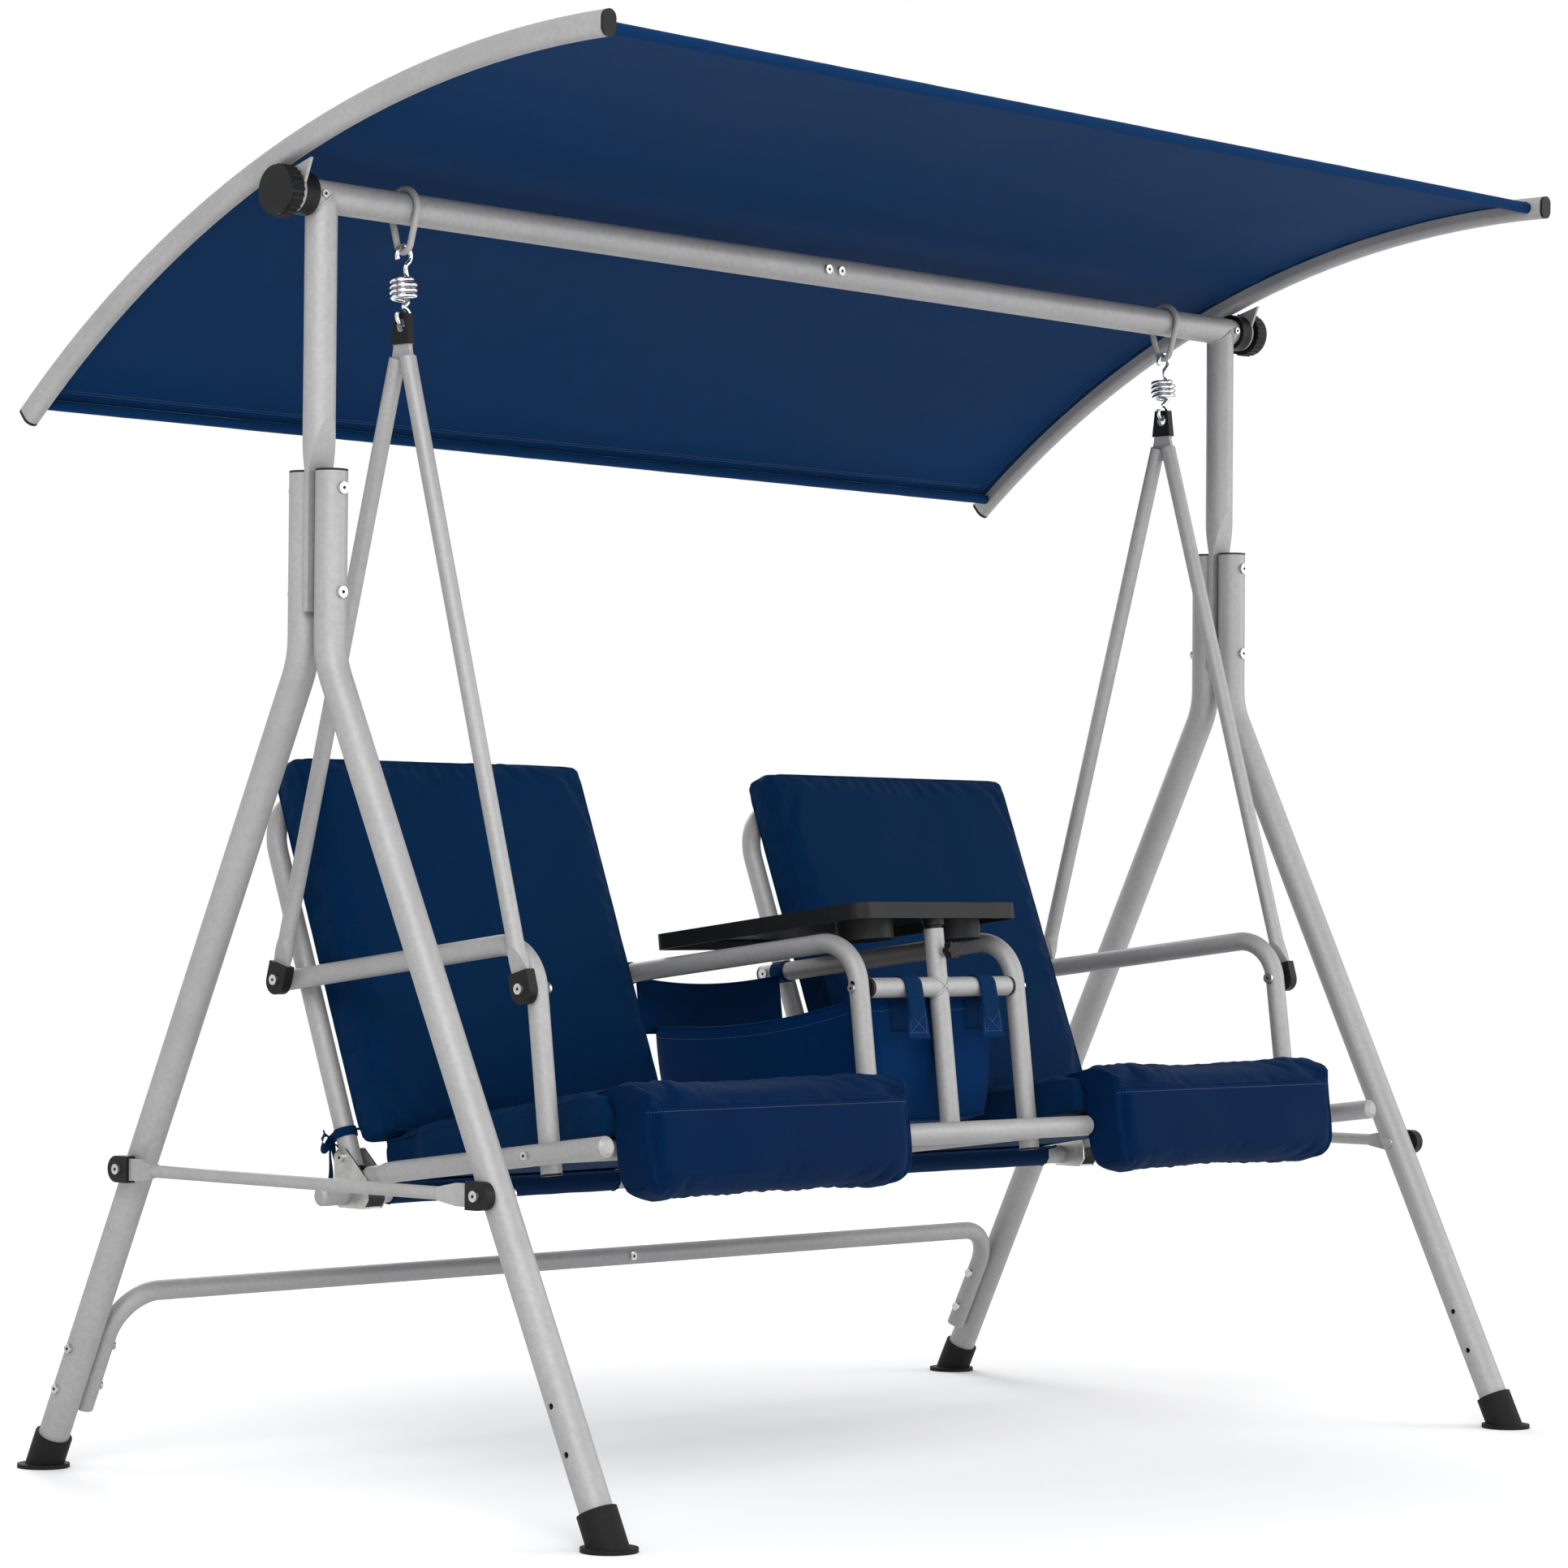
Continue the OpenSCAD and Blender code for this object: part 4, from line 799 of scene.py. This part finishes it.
def canopy_seams(sheet, half):
    """Stitches along both hems and both sides, on the upper and the lower face."""
    reach = CANOPY_R + SHEET_LIFT
    runs = []
    for share, way in ((0.0, 1), (1.0, -1)):
        for row_gap in (0.016, 0.020):
            out = canopy_out(canopy_angle(share) + way * row_gap / CANOPY_R)
            for face in (1, -1):
                runs.append([(CANOPY_MID + out * (reach + face * 0.03)
                              + Vector((-half + 0.006 + j * 0.02, 0, 0)), -out * face)
                             for j in range(int((2 * half - 0.012) / 0.02) + 1)])
    for side in (-1, 1):
        for face in (1, -1):
            rays = []
            for j in range(56):
                out = canopy_out(canopy_angle((j + 0.5) / 56))
                rays.append((CANOPY_MID + out * (reach + face * 0.02)
                             + Vector((side * (half - 0.012), 0, 0)), -out * face))
            runs.append(rays)
    lines = [snapped_line(sheet, rays) for rays in runs]
    return [stitch_row("s", line, normals) for line, normals in lines if len(line) > 3]


def canopy():
    """One continuous sheet stretched over both spreaders, dipping a little between the side bars."""
    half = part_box("canopy_fabric")[1].x
    rows, length = canopy_rows(half)
    sheet = cloth_sheet("canopy_sheet", rows, CANOPY_CLOTH, 0.0011)
    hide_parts("canopy_fabric")
    thread = join_as("canopy_stitches", canopy_seams(sheet, half))
    beads = []
    for side in (-1, 1):
        line = [CANOPY_MID + canopy_out(canopy_angle(j / 80)) * (CANOPY_R + SHEET_LIFT)
                + Vector((side * (half - 0.0004), 0, 0)) for j in range(81)]
        beads.append(tube_mesh("b", line, 0.0020, CANOPY_CLOTH))
    belongs("canopy", "canopy_cloth", sheet, thread, join_as("canopy_side_beads", beads))


FRONT_BAR = (-0.368, 0.0)
REAR_BAR = (0.0405, -0.0183)
SLING_REACH = TUBE_R + 0.0011


def path_sheet(name, path, half_width, place, material, thickness, dip, seed):
    """A sheet that follows a path in the (v, n) plane, dipping between its supports."""
    line = resample([Vector((0, p[0], p[1])) for p in path], 0.006)
    across = 64
    rows = []
    length = 0.0
    for i, p in enumerate(line):
        length += (p - line[i - 1]).length if i else 0.0
        ahead = heading(line, i)
        face = Vector((0, -ahead.z, ahead.y))
        row = []
        for k in range(across + 1):
            x = -half_width + 2 * half_width * k / across
            edge = 1.0 - (abs(x) / half_width) ** 2
            sag = dip(p.y, p.z) * (0.35 + 0.65 * edge)
            ripple = 0.0005 * smooth_noise(x + seed, p.y * 0.3, p.z * 0.3, 26.0)
            row.append((place @ (Vector((x, p.y, p.z)) - face * (sag + ripple)), x, length))
        rows.append(row)
    return cloth_sheet(name, rows, material, thickness), length


def sling(side, name):
    """Seat sling over both bars and back sling with its top pocket, each with taped edges."""
    seat_place = seat_matrix() @ Matrix.Translation((side * SEAT_X, 0, 0))
    back_place = back_matrix() @ Matrix.Translation((side * SEAT_X, 0, 0))
    front = arc_points(FRONT_BAR, SLING_REACH, 395, 93, 20)
    rear = arc_points(REAR_BAR, SLING_REACH, 87, -215, 22)
    path = [(FRONT_BAR[0] + 0.030, 0.0105)] + front + rear
    path += [(REAR_BAR[0] - 0.030, REAR_BAR[1] + 0.0105)]

    def seat_dip(v, n):
        inside = FRONT_BAR[0] < v < REAR_BAR[0] and n > 0.0112 - (v + 0.368) * 0.045
        share = (v - FRONT_BAR[0]) / (REAR_BAR[0] - FRONT_BAR[0])
        return 0.007 * math.sin(math.pi * share) if inside else 0.0

    seat, seat_length = path_sheet("seat_sling_" + name, path, 0.190, seat_place, SLING_CLOTH,
                                   0.0012, seat_dip, side)
    top = arc_points((0.0, 0.465), SLING_REACH, 180, -5, 12)
    back_path = [(-SLING_REACH, 0.012)] + top + [(SLING_REACH - 0.001, 0.425)]

    def back_dip(v, n):
        inside = v < 0 and 0.03 < n < 0.44
        return -0.006 * math.sin(math.pi * (n - 0.03) / 0.41) if inside else 0.0

    back, back_length = path_sheet("back_sling_" + name, back_path, 0.169, back_place,
                                   SLING_CLOTH, 0.0012, back_dip, side + 4)
    bindings = []
    for x in (-1, 1):
        for place, half, route in ((seat_place, 0.1895, path), (back_place, 0.1685, back_path)):
            edge_line = [place @ Vector((x * half, p[0], p[1])) for p in route]
            bindings.append(tube_mesh("b", resample(edge_line, 0.008), 0.0018, EDGE_TAPE))
    low = [back_place @ Vector((-0.169 + 0.338 * i / 12, -SLING_REACH, 0.012)) for i in range(13)]
    bindings.append(tube_mesh("b", low, 0.0018, EDGE_TAPE))
    join_flap = [(-SLING_REACH, 0.014), (-SLING_REACH + 0.001, -0.004), (-0.0105, -0.030)]
    flap, _ = path_sheet("sling_flap_" + name, join_flap, 0.169, back_place, SLING_CLOTH, 0.0012,
                         lambda v, n: 0.0, side + 9)
    binding = join_as("sling_binding_" + name, bindings)
    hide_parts("sling_" + name)
    belongs("seat_unit", "sling_cloth", seat, back, flap, binding)


# ---------------------------------------------------------------- bag, straps and ties

BAG_HALF = 0.118
BAG_FRONT = -0.3185
BAG_REAR = 0.0630
BAG_TOP = 0.177
BAG_LOW = 0.021


def bag_ring(level, count):
    """One level of the bag: a rounded rectangle that bellies out and sags."""
    corner = 0.022 + 0.012 * (1 - level)
    ring = rounded_outline([(-BAG_HALF, BAG_FRONT, corner), (BAG_HALF, BAG_FRONT, corner),
                            (BAG_HALF, BAG_REAR, corner), (-BAG_HALF, BAG_REAR, corner)], 6)
    return resample([Vector((p[0], p[1], 0)) for p in ring], 1.16 / count, closed=True)


def storage_bag():
    place = seat_matrix()
    levels = 26
    base = bag_ring(1.0, 190)
    count = len(base)
    middle = Vector((0, (BAG_FRONT + BAG_REAR) / 2, 0))
    verts, uvs = [], []
    for i in range(levels + 1):
        level = i / levels
        travelled = 0.0
        for k in range(count):
            p = base[k]
            before = base[k - 1]
            travelled += (p - before).length if k else 0.0
            out = Vector((p.x / BAG_HALF, (p.y - middle.y) / ((BAG_REAR - BAG_FRONT) / 2), 0))
            side = abs(out.x) > abs(out.y)
            along = (p.y - middle.y) / 0.19 if side else p.x / BAG_HALF
            away = max(0.0, 1 - along ** 2)
            belly = 0.0055 * math.sin(math.pi * level ** 0.8) * away
            fold = 0.0016 * smooth_noise(p.x, p.y, level * 0.15, 22.0) * (1 - level * 0.3)
            taper = 1.0 - 0.075 * (1 - level) ** 2.5
            droop = 0.0
            if i > levels * 0.55:
                lift = (level - 0.55) / 0.45
                droop = (0.016 if side else 0.008) * away * lift
                if p.y < BAG_FRONT + 0.01:
                    droop = 0.006 * abs(math.sin(2 * math.pi * (p.x - 0.008) / 0.14)) * lift
            low = 0.006 * (1 - away) * (1 - level) ** 3
            flat = middle + (p - middle) * taper
            way = Vector((math.copysign(1, p.x), 0, 0)) if side else Vector(
                (0, math.copysign(1, p.y - middle.y), 0))
            forward = p.y < BAG_FRONT + 0.02
            swell = (belly * 0.15 if forward else belly) + fold
            point = flat + way * swell
            point.z = BAG_LOW + low + (BAG_TOP - BAG_LOW - low) * level - droop
            verts.append(place @ point)
            uvs.append((travelled, point.z))
    faces = ring_faces(levels + 1, count)
    rings = 12
    for r in range(1, rings + 1):
        share = 1 - r / rings
        for k in range(count):
            p = base[k]
            flat = middle + (p - middle) * 0.925 * share
            sink = 0.0035 * (1 - share ** 2)
            ripple = 0.0012 * smooth_noise(flat.x, flat.y, 0.5, 20.0) * (1 - share)
            rise = 0.006 * max(0.0, share) ** 6 * 0.4
            verts.append(place @ Vector((flat.x, flat.y, BAG_LOW - sink + ripple + rise)))
            uvs.append((flat.x, flat.y))
    first = (levels + 1) * count
    for r in range(rings):
        outer = 0 if r == 0 else first + (r - 1) * count
        inner = first + r * count
        for k in range(count):
            m = (k + 1) % count
            faces.append((outer + m, outer + k, inner + k, inner + m))
    bag = thicken(mesh_piece("storage_bag_cloth", verts, faces, BAG_CLOTH, uvs), 0.0013)
    top = levels * count
    rim = [verts[top + k] for k in range(count)]
    hem = tube_mesh("bag_hem", rim, 0.0021, BAG_CLOTH, closed=True)
    corners = []
    for x in (-1, 1):
        for v in (BAG_FRONT, BAG_REAR):
            target = Vector((x * (BAG_HALF - 0.006), v + math.copysign(0.006, -v), 0))
            k = min(range(count), key=lambda j: (base[j] - target).length)
            line = [verts[i * count + k] for i in range(levels)]
            corners.append(tube_mesh("c", line, 0.0014, BAG_CLOTH))
    low_seam = tube_mesh("c", [verts[k] for k in range(count)], 0.0015, BAG_CLOTH, closed=True)
    seams = join_as("bag_seams", [hem, low_seam] + corners)
    below = []
    for k in range(count):
        outward = (base[k] - middle)
        outward.z = 0
        way = place.to_3x3() @ outward.normalized()
        point = verts[top + k] - place.to_3x3() @ Vector((0, 0, 0.014))
        below.append((point + way * 0.03, -way))
    line, normals = snapped_line(bag, below, reach=0.06)
    thread = stitch_row("bag_stitches", line, normals)
    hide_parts("storage_bag")
    belongs("seat_unit", "bag_cloth", bag, seams, thread)


def band_round(name, place, centre, second, width, thickness, material):
    """A flat band right round a seat tube; second is the other direction of its circle."""
    loop, normals = [], []
    for i in range(33):
        a = 2 * math.pi * i / 32
        out = Vector((1, 0, 0)) * math.cos(a) + second * math.sin(a)
        loop.append(place @ (centre + out * (TUBE_R + 0.0012)))
        normals.append(place.to_3x3() @ out)
    return ribbon(name, loop, normals, width, thickness, material)


def box_cross(name, centre, right, up, face, width, height):
    """A square of stitches with a cross in it."""
    a, b, c, d = [centre + right * width / 2 * i + up * height / 2 * j
                  for i, j in ((-1, -1), (1, -1), (1, 1), (-1, 1))]
    rows = [(a, b), (b, c), (c, d), (d, a), (a, c), (b, d)]
    return [stitch_row(name, [p, q], [face, face], pitch=0.0034, length=0.0025)
            for p, q in rows]


STRAP_X = (-0.062, 0.078)


def bag_straps():
    place = seat_matrix()
    turn = place.to_3x3()
    pieces, threads = [], []
    reach = TUBE_R + 0.0016
    for x in STRAP_X:
        path, normals = [], []
        for i in range(13):
            n = POST_CROSS_N - 0.060 + 0.060 * i / 12
            path.append(Vector((x, -ARM_F - reach - 0.0022 * math.sin(math.pi * i / 12), n)))
            normals.append(Vector((0, -1, 0)))
        for i in range(1, 12):
            a = math.pi * i / 12
            path.append(Vector((x, -ARM_F - reach * math.cos(a), POST_CROSS_N + reach * math.sin(a))))
            normals.append(Vector((0, -math.cos(a), math.sin(a))))
        for i in range(13):
            n = POST_CROSS_N - 0.052 * i / 12
            path.append(Vector((x, -ARM_F + reach + 0.0006, n)))
            normals.append(Vector((0, 1, 0)))
        pieces.append(ribbon("strap", [place @ p for p in path], [turn @ v for v in normals],
                             0.031, 0.0019, WEBBING, wave=0.0006))
        face = turn @ Vector((0, -1, 0))
        centre = place @ Vector((x, -ARM_F - reach - 0.0024, POST_CROSS_N - 0.046))
        threads += box_cross("x", centre, turn @ Vector((1, 0, 0)), turn @ Vector((0, 0, 1)),
                             face, 0.029, 0.024)
        rows = []
        for i in range(15):
            share = i / 14
            half = 0.0160 + 0.0055 * share ** 1.4
            n = POST_CROSS_N - 0.022 - 0.044 * share
            rows.append([(place @ Vector((x - half + 2 * half * k / 12, -ARM_F - reach - 0.0016, n)),
                          x + half * (k / 6 - 1), n) for k in range(13)])
        pieces.append(cloth_sheet("tab", rows, BAG_CLOTH, 0.0012))
    inner_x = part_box("armrest_inner_right")[0].x + TUBE_R
    band_n = (BAG_TOP, 0.240)
    rows = []
    for i in range(15):
        share = i / 14
        row = []
        for k in range(61):
            t = 2 * k / 60 - 1
            x = t * (inner_x - TUBE_R - 0.0008)
            bow = 0.005 * (1 - t * t)
            dip = 0.010 * (1 - t * t) * share
            n = band_n[0] - 0.010 + (band_n[1] - band_n[0] + 0.010) * share - dip
            row.append((place @ Vector((x, 0.0655 + bow * (0.4 + 0.6 * share), n)), x, n))
        rows.append(row)
    band = cloth_sheet("band", rows, BAG_CLOTH, 0.0014)
    pieces.append(band)
    pieces.append(tube_mesh("hem", [r[0] for r in rows[-1]], 0.0019, BAG_CLOTH))
    for side in (-1, 1):
        pieces.append(band_round("loop", place, Vector((side * inner_x, 0.070, ARM_N)),
                                 Vector((0, 0, 1)), 0.023, 0.0015, WEBBING))
    straps = join_as("bag_strap_set", pieces)
    thread = join_as("strap_stitches", threads)
    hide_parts("bag_straps")
    belongs("seat_unit", "bag_cloth", straps, thread)


def bow(centre, out, seed):
    """A tied bow: two loops, two tails and a knot."""
    down = Vector((0, 0, -1))
    side = out.cross(down).normalized()
    parts = []
    for way in (-1, 1):
        loop, normals = [], []
        for i in range(25):
            a = math.pi * 2 * i / 24
            spread = 0.026 * math.sin(a / 2)
            p = centre + side * way * spread * 1.25 + down * (0.010 * math.sin(a) + spread * 0.15)
            loop.append(p + out * (0.003 + 0.003 * math.cos(a)))
            normals.append((out * 0.5 + down * math.cos(a) * 0.9 + side * way * 0.2).normalized())
        parts.append(ribbon("loop", loop, normals, 0.009, 0.0011, CUSHION_CLOTH))
        tail, normals = [], []
        for i in range(13):
            t = i / 12
            sway = 0.006 * math.sin(3 * t + seed + way)
            tail.append(centre + down * 0.075 * t + side * (way * 0.016 * t ** 0.7 + sway * t)
                        + out * (0.003 + 0.002 * math.sin(6 * t + seed)))
            normals.append((out + side * 0.35 * math.sin(4 * t + way)).normalized())
        parts.append(ribbon("tail", tail, normals, 0.010, 0.0011, CUSHION_CLOTH))
    knot = resample([centre + side * -0.004, centre + side * 0.004], 0.002)
    parts.append(tube_mesh("knot", [p + out * 0.004 for p in knot], 0.0048, CUSHION_CLOTH))
    return parts


TIE_U = 0.030


def cushion_ties():
    place = back_matrix()
    turn = place.to_3x3()
    parts = []
    seed = 0.0
    for centre in (-SEAT_X, SEAT_X):
        for side in (-1, 1):
            x = centre + side * 0.246
            parts.append(band_round("t", place, Vector((x, 0, TIE_U)), Vector((0, 1, 0)),
                                    0.011, 0.0013, CUSHION_CLOTH))
            out = turn @ Vector((side * 0.35, 0.94, 0))
            seed += 1.3
            parts += bow(place @ Vector((x + side * 0.003, TUBE_R + 0.004, TIE_U)), out, seed)
            link = [place @ Vector((x, -TUBE_R - 0.001, TIE_U)),
                    place @ Vector((x - side * 0.020, -0.022, TIE_U))]
            parts.append(ribbon("l", link, [turn @ Vector((0, 0, 1))] * 2, 0.010, 0.0013,
                                CUSHION_CLOTH))
    ties = join_as("cushion_tie_set", parts)
    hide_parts("cushion_ties")
    belongs("seat_unit", "cushion_cloth", ties)


# ---------------------------------------------------------------- springs, welds and sockets


def spring(name):
    """A true coil with both hooks, in place of the CAD rings."""
    low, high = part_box("spring_" + name)
    x = (low.x + high.x) / 2
    coil, wire, turns = 0.0145, 0.0030, 4
    bottom, top = 1.4045, 1.4300
    upper_z, upper_r = high.z - wire - 0.011, 0.011
    lower_z, lower_r = low.z + wire + 0.010, 0.010
    lower_hook = arc_points((x, lower_z), lower_r, -200, 100, 24)
    line = [Vector((p[0], 0, p[1])) for p in lower_hook]
    line.append(Vector((x + 0.006, 0.0, bottom - 0.0035)))
    steps = turns * 28
    for i in range(steps + 1):
        a = 2 * math.pi * turns * i / steps
        ease = min(1.0, i / 14, (steps - i) / 14)
        r = coil * (0.62 + 0.38 * ease)
        line.append(Vector((x + r * math.cos(a), r * math.sin(a),
                            bottom + (top - bottom) * i / steps)))
    line.append(Vector((x + 0.004, 0, top + 0.0045)))
    upper_hook = arc_points((x, upper_z), upper_r, -80, 212, 24)
    line += [Vector((p[0], 0, p[1])) for p in upper_hook]
    curve = resample(line, 0.0022)
    smooth = curve
    for _ in range(3):
        smooth = [smooth[0]] + [(smooth[i - 1] + smooth[i] * 2 + smooth[i + 1]) / 4
                                for i in range(1, len(smooth) - 1)] + [smooth[-1]]
    piece = tube_mesh("coil_spring_" + name, smooth, wire, CHROME, sides=14)
    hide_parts("spring_" + name)
    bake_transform(piece)


def welds():
    seat = seat_matrix()
    stand, seat_parts = [], []
    bar_low, bar_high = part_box("crossbar_left")
    bar_z, bar_r = (bar_low.z + bar_high.z) / 2, (bar_high.z - bar_low.z) / 2
    leg_x = sum(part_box("upright_right"), Vector()).x / 2
    for x in (-leg_x, leg_x):
        line = []
        for i in range(96):
            a = 2 * math.pi * i / 96
            dx, dy = bar_r * math.cos(a), bar_r * math.sin(a) * 0.999
            drop = math.sqrt(max(bar_r ** 2 - dy ** 2, 0.0))
            wobble = 0.0004 * math.sin(a * 41)
            line.append(Vector((x + dx + wobble, dy, bar_z - drop)))
        stand.append(tube_mesh("w", line, 0.0017, SILVER, closed=True, sides=8))
    for side in (-1, 1):
        line = []
        for i in range(72):
            a = 2 * math.pi * i / 72
            depth = math.sqrt(max(TUBE_R ** 2 - (TUBE_R * math.sin(a)) ** 2, 0.0))
            local = Vector((side * (depth + 0.0004), TUBE_R * math.sin(a), TUBE_R * math.cos(a)))
            line.append(seat @ (Vector((0, -ARM_F, POST_CROSS_N)) + local
                                + Vector((0.0003 * math.sin(a * 31), 0, 0))))
        seat_parts.append(tube_mesh("w", line, 0.0019, SILVER, closed=True, sides=8))
    belongs("stand", "silver_paint", join_as("stand_welds", stand))
    belongs("seat_unit", "silver_paint", join_as("post_welds", seat_parts))


def hex_socket(centre, out, radius):
    """A flat dark hexagon on a bolt head: painted shade standing in for the socket recess, drawn as a
    thin inset.
    """
    out = Vector(out).normalized()
    side = out.orthogonal().normalized()
    other = out.cross(side)
    verts = []
    for lift, r in ((0.0, radius), (0.00025, radius * 0.98)):
        for k in range(6):
            a = math.pi / 3 * k
            verts.append(Vector(centre) + out * lift
                         + (side * math.cos(a) + other * math.sin(a)) * r)
    return mesh_piece("hex", verts, ring_faces(2, 6) + [tuple(range(6, 12))], SOCKET_SHADE, smooth=False)


def head_sockets(name, node, body, radius, keep):
    """A hexagon of painted socket shade on each bolt head of a CAD node that keep() accepts."""
    mesh = frame["nodes"][node].data
    bm = bmesh.new()
    bm.from_mesh(mesh)
    bmesh.ops.remove_doubles(bm, verts=bm.verts, dist=1e-6)
    bm.verts.ensure_lookup_table()
    left = set(bm.verts)
    found = []
    while left:
        seed = left.pop()
        group, queue = [seed], [seed]
        while queue:
            for edge in queue.pop().link_edges:
                for vertex in edge.verts:
                    if vertex in left:
                        left.remove(vertex)
                        group.append(vertex)
                        queue.append(vertex)
        found.append([v.co.copy() for v in group])
    bm.free()
    sockets = []
    for points in found:
        low = [min(p[i] for p in points) for i in range(3)]
        high = [max(p[i] for p in points) for i in range(3)]
        size = [high[i] - low[i] for i in range(3)]
        axis = size.index(max(size))
        middle = [(low[i] + high[i]) / 2 for i in range(3)]
        for end in keep(axis, middle):
            spot = list(middle)
            spot[axis] = low[axis] - 0.00015 if end < 0 else high[axis] + 0.00015
            out = [0.0, 0.0, 0.0]
            out[axis] = float(end)
            sockets.append(hex_socket(spot, out, radius))
    if sockets:
        belongs(body, "zinc_steel", join_as(name, sockets))


# ---------------------------------------------------------------- CAD nodes shown as they are


def paint_cad():
    """Every CAD node that is shown takes its material."""
    by_slot = {"silver_paint": SILVER, "zinc_steel": ZINC, "spring_chrome": CHROME,
               "black_plastic": PLASTIC}
    own = {"foot_caps": RUBBER, "table_tray": TRAY_PLASTIC}
    for part in frame["record"]["subparts"]:
        node, slot = part["node"], part["material_slot"]
        material = own.get(node) or by_slot.get(slot)
        if material is None:
            continue
        obj = frame["nodes"][node]
        obj.data.materials.clear()
        obj.data.materials.append(material)


# ---------------------------------------------------------------- stage, light and camera


def light(name, place, target, size, power):
    data = bpy.data.lights.new(name, "AREA")
    data.shape = "RECTANGLE"
    data.size = size[0]
    data.size_y = size[1]
    data.energy = power
    obj = bpy.data.objects.new(name, data)
    bpy.context.scene.collection.objects.link(obj)
    obj.location = place
    obj.rotation_euler = (Vector(target) - Vector(place)).to_track_quat("-Z", "Y").to_euler()


def studio():
    verts = [(-14, -14, 0), (14, -14, 0), (14, 14, 0), (-14, 14, 0)]
    floor_material = Nodes("pale_floor")
    # Painted shade on the floor: grey near the swing, fading to white with distance from it.
    broad = floor_material.noise(0.8, 3.0, 0.5)
    near = floor_material.mix(broad, (0.80, 0.80, 0.805, 1), (0.84, 0.84, 0.845, 1))
    reach = floor_material.node("ShaderNodeVectorMath", {0: floor_material.coord},
                                operation="LENGTH").outputs["Value"]
    floor_shade_tone = floor_material.mix(floor_material.remap(reach, 1.2, 4.5, 0.0, 1.0), near, (1, 1, 1, 1))
    floor = mesh_piece("floor", verts, [(0, 1, 2, 3)],
                       floor_material.finish(Base_Color=floor_shade_tone, Roughness=0.8), smooth=False)
    world = bpy.data.worlds.new("studio")
    world.use_nodes = True
    world.node_tree.nodes["Background"].inputs[0].default_value = (1.0, 1.0, 1.0, 1)
    world.node_tree.nodes["Background"].inputs[1].default_value = 1.0
    bpy.context.scene.world = world
    light("key", (-3.6, -3.0, 3.4), (0, 0, 0.9), (2.6, 2.6), 150)
    light("fill", (3.8, -3.4, 2.0), (0, 0, 0.8), (2.4, 3.0), 70)
    light("rim", (2.2, 4.2, 3.0), (0, 0, 1.0), (2.5, 2.0), 90)
    light("low", (-1.0, -4.6, 0.6), (0, 0, 0.9), (3.0, 0.9), 40)
    bpy.context.scene.view_settings.view_transform = "Standard"


def camera():
    """A long lens from the front left, a little below the seat backs, looking slightly up."""
    data = bpy.data.cameras.new("camera")
    data.sensor_width = 36.0
    data.lens = 105.8
    data.clip_end = 60.0
    obj = bpy.data.objects.new("camera", data)
    bpy.context.scene.collection.objects.link(obj)
    yaw, pitch, roll = math.radians(46.52), math.radians(1.275), math.radians(0.456)
    obj.location = (-4.327, -4.052, 0.7175)
    turn = (Matrix.Rotation(-yaw, 4, "Z") @ Matrix.Rotation(math.pi / 2 + pitch, 4, "X")
            @ Matrix.Rotation(roll, 4, "Z"))
    obj.rotation_euler = turn.to_euler()
    bpy.context.scene.camera = obj


paint_cad()
for each_side, each_name in ((-1, "left"), (1, "right")):
    sling(each_side, each_name)
    seat_cushion(each_side, each_name)
    back_cushion(each_side, each_name)
    spring(each_name)
canopy()
storage_bag()
bag_straps()
cushion_ties()
welds()
head_sockets("frame_bolt_sockets", "frame_bolts", "stand", 0.0021,
             lambda axis, p: [-1] if axis == 1 else [math.copysign(1, p[0])])
head_sockets("seat_bolt_sockets", "seat_bolts", "seat_unit", 0.0020,
             lambda axis, p: [-1, 1] if axis == 0 else [])
studio()
camera()
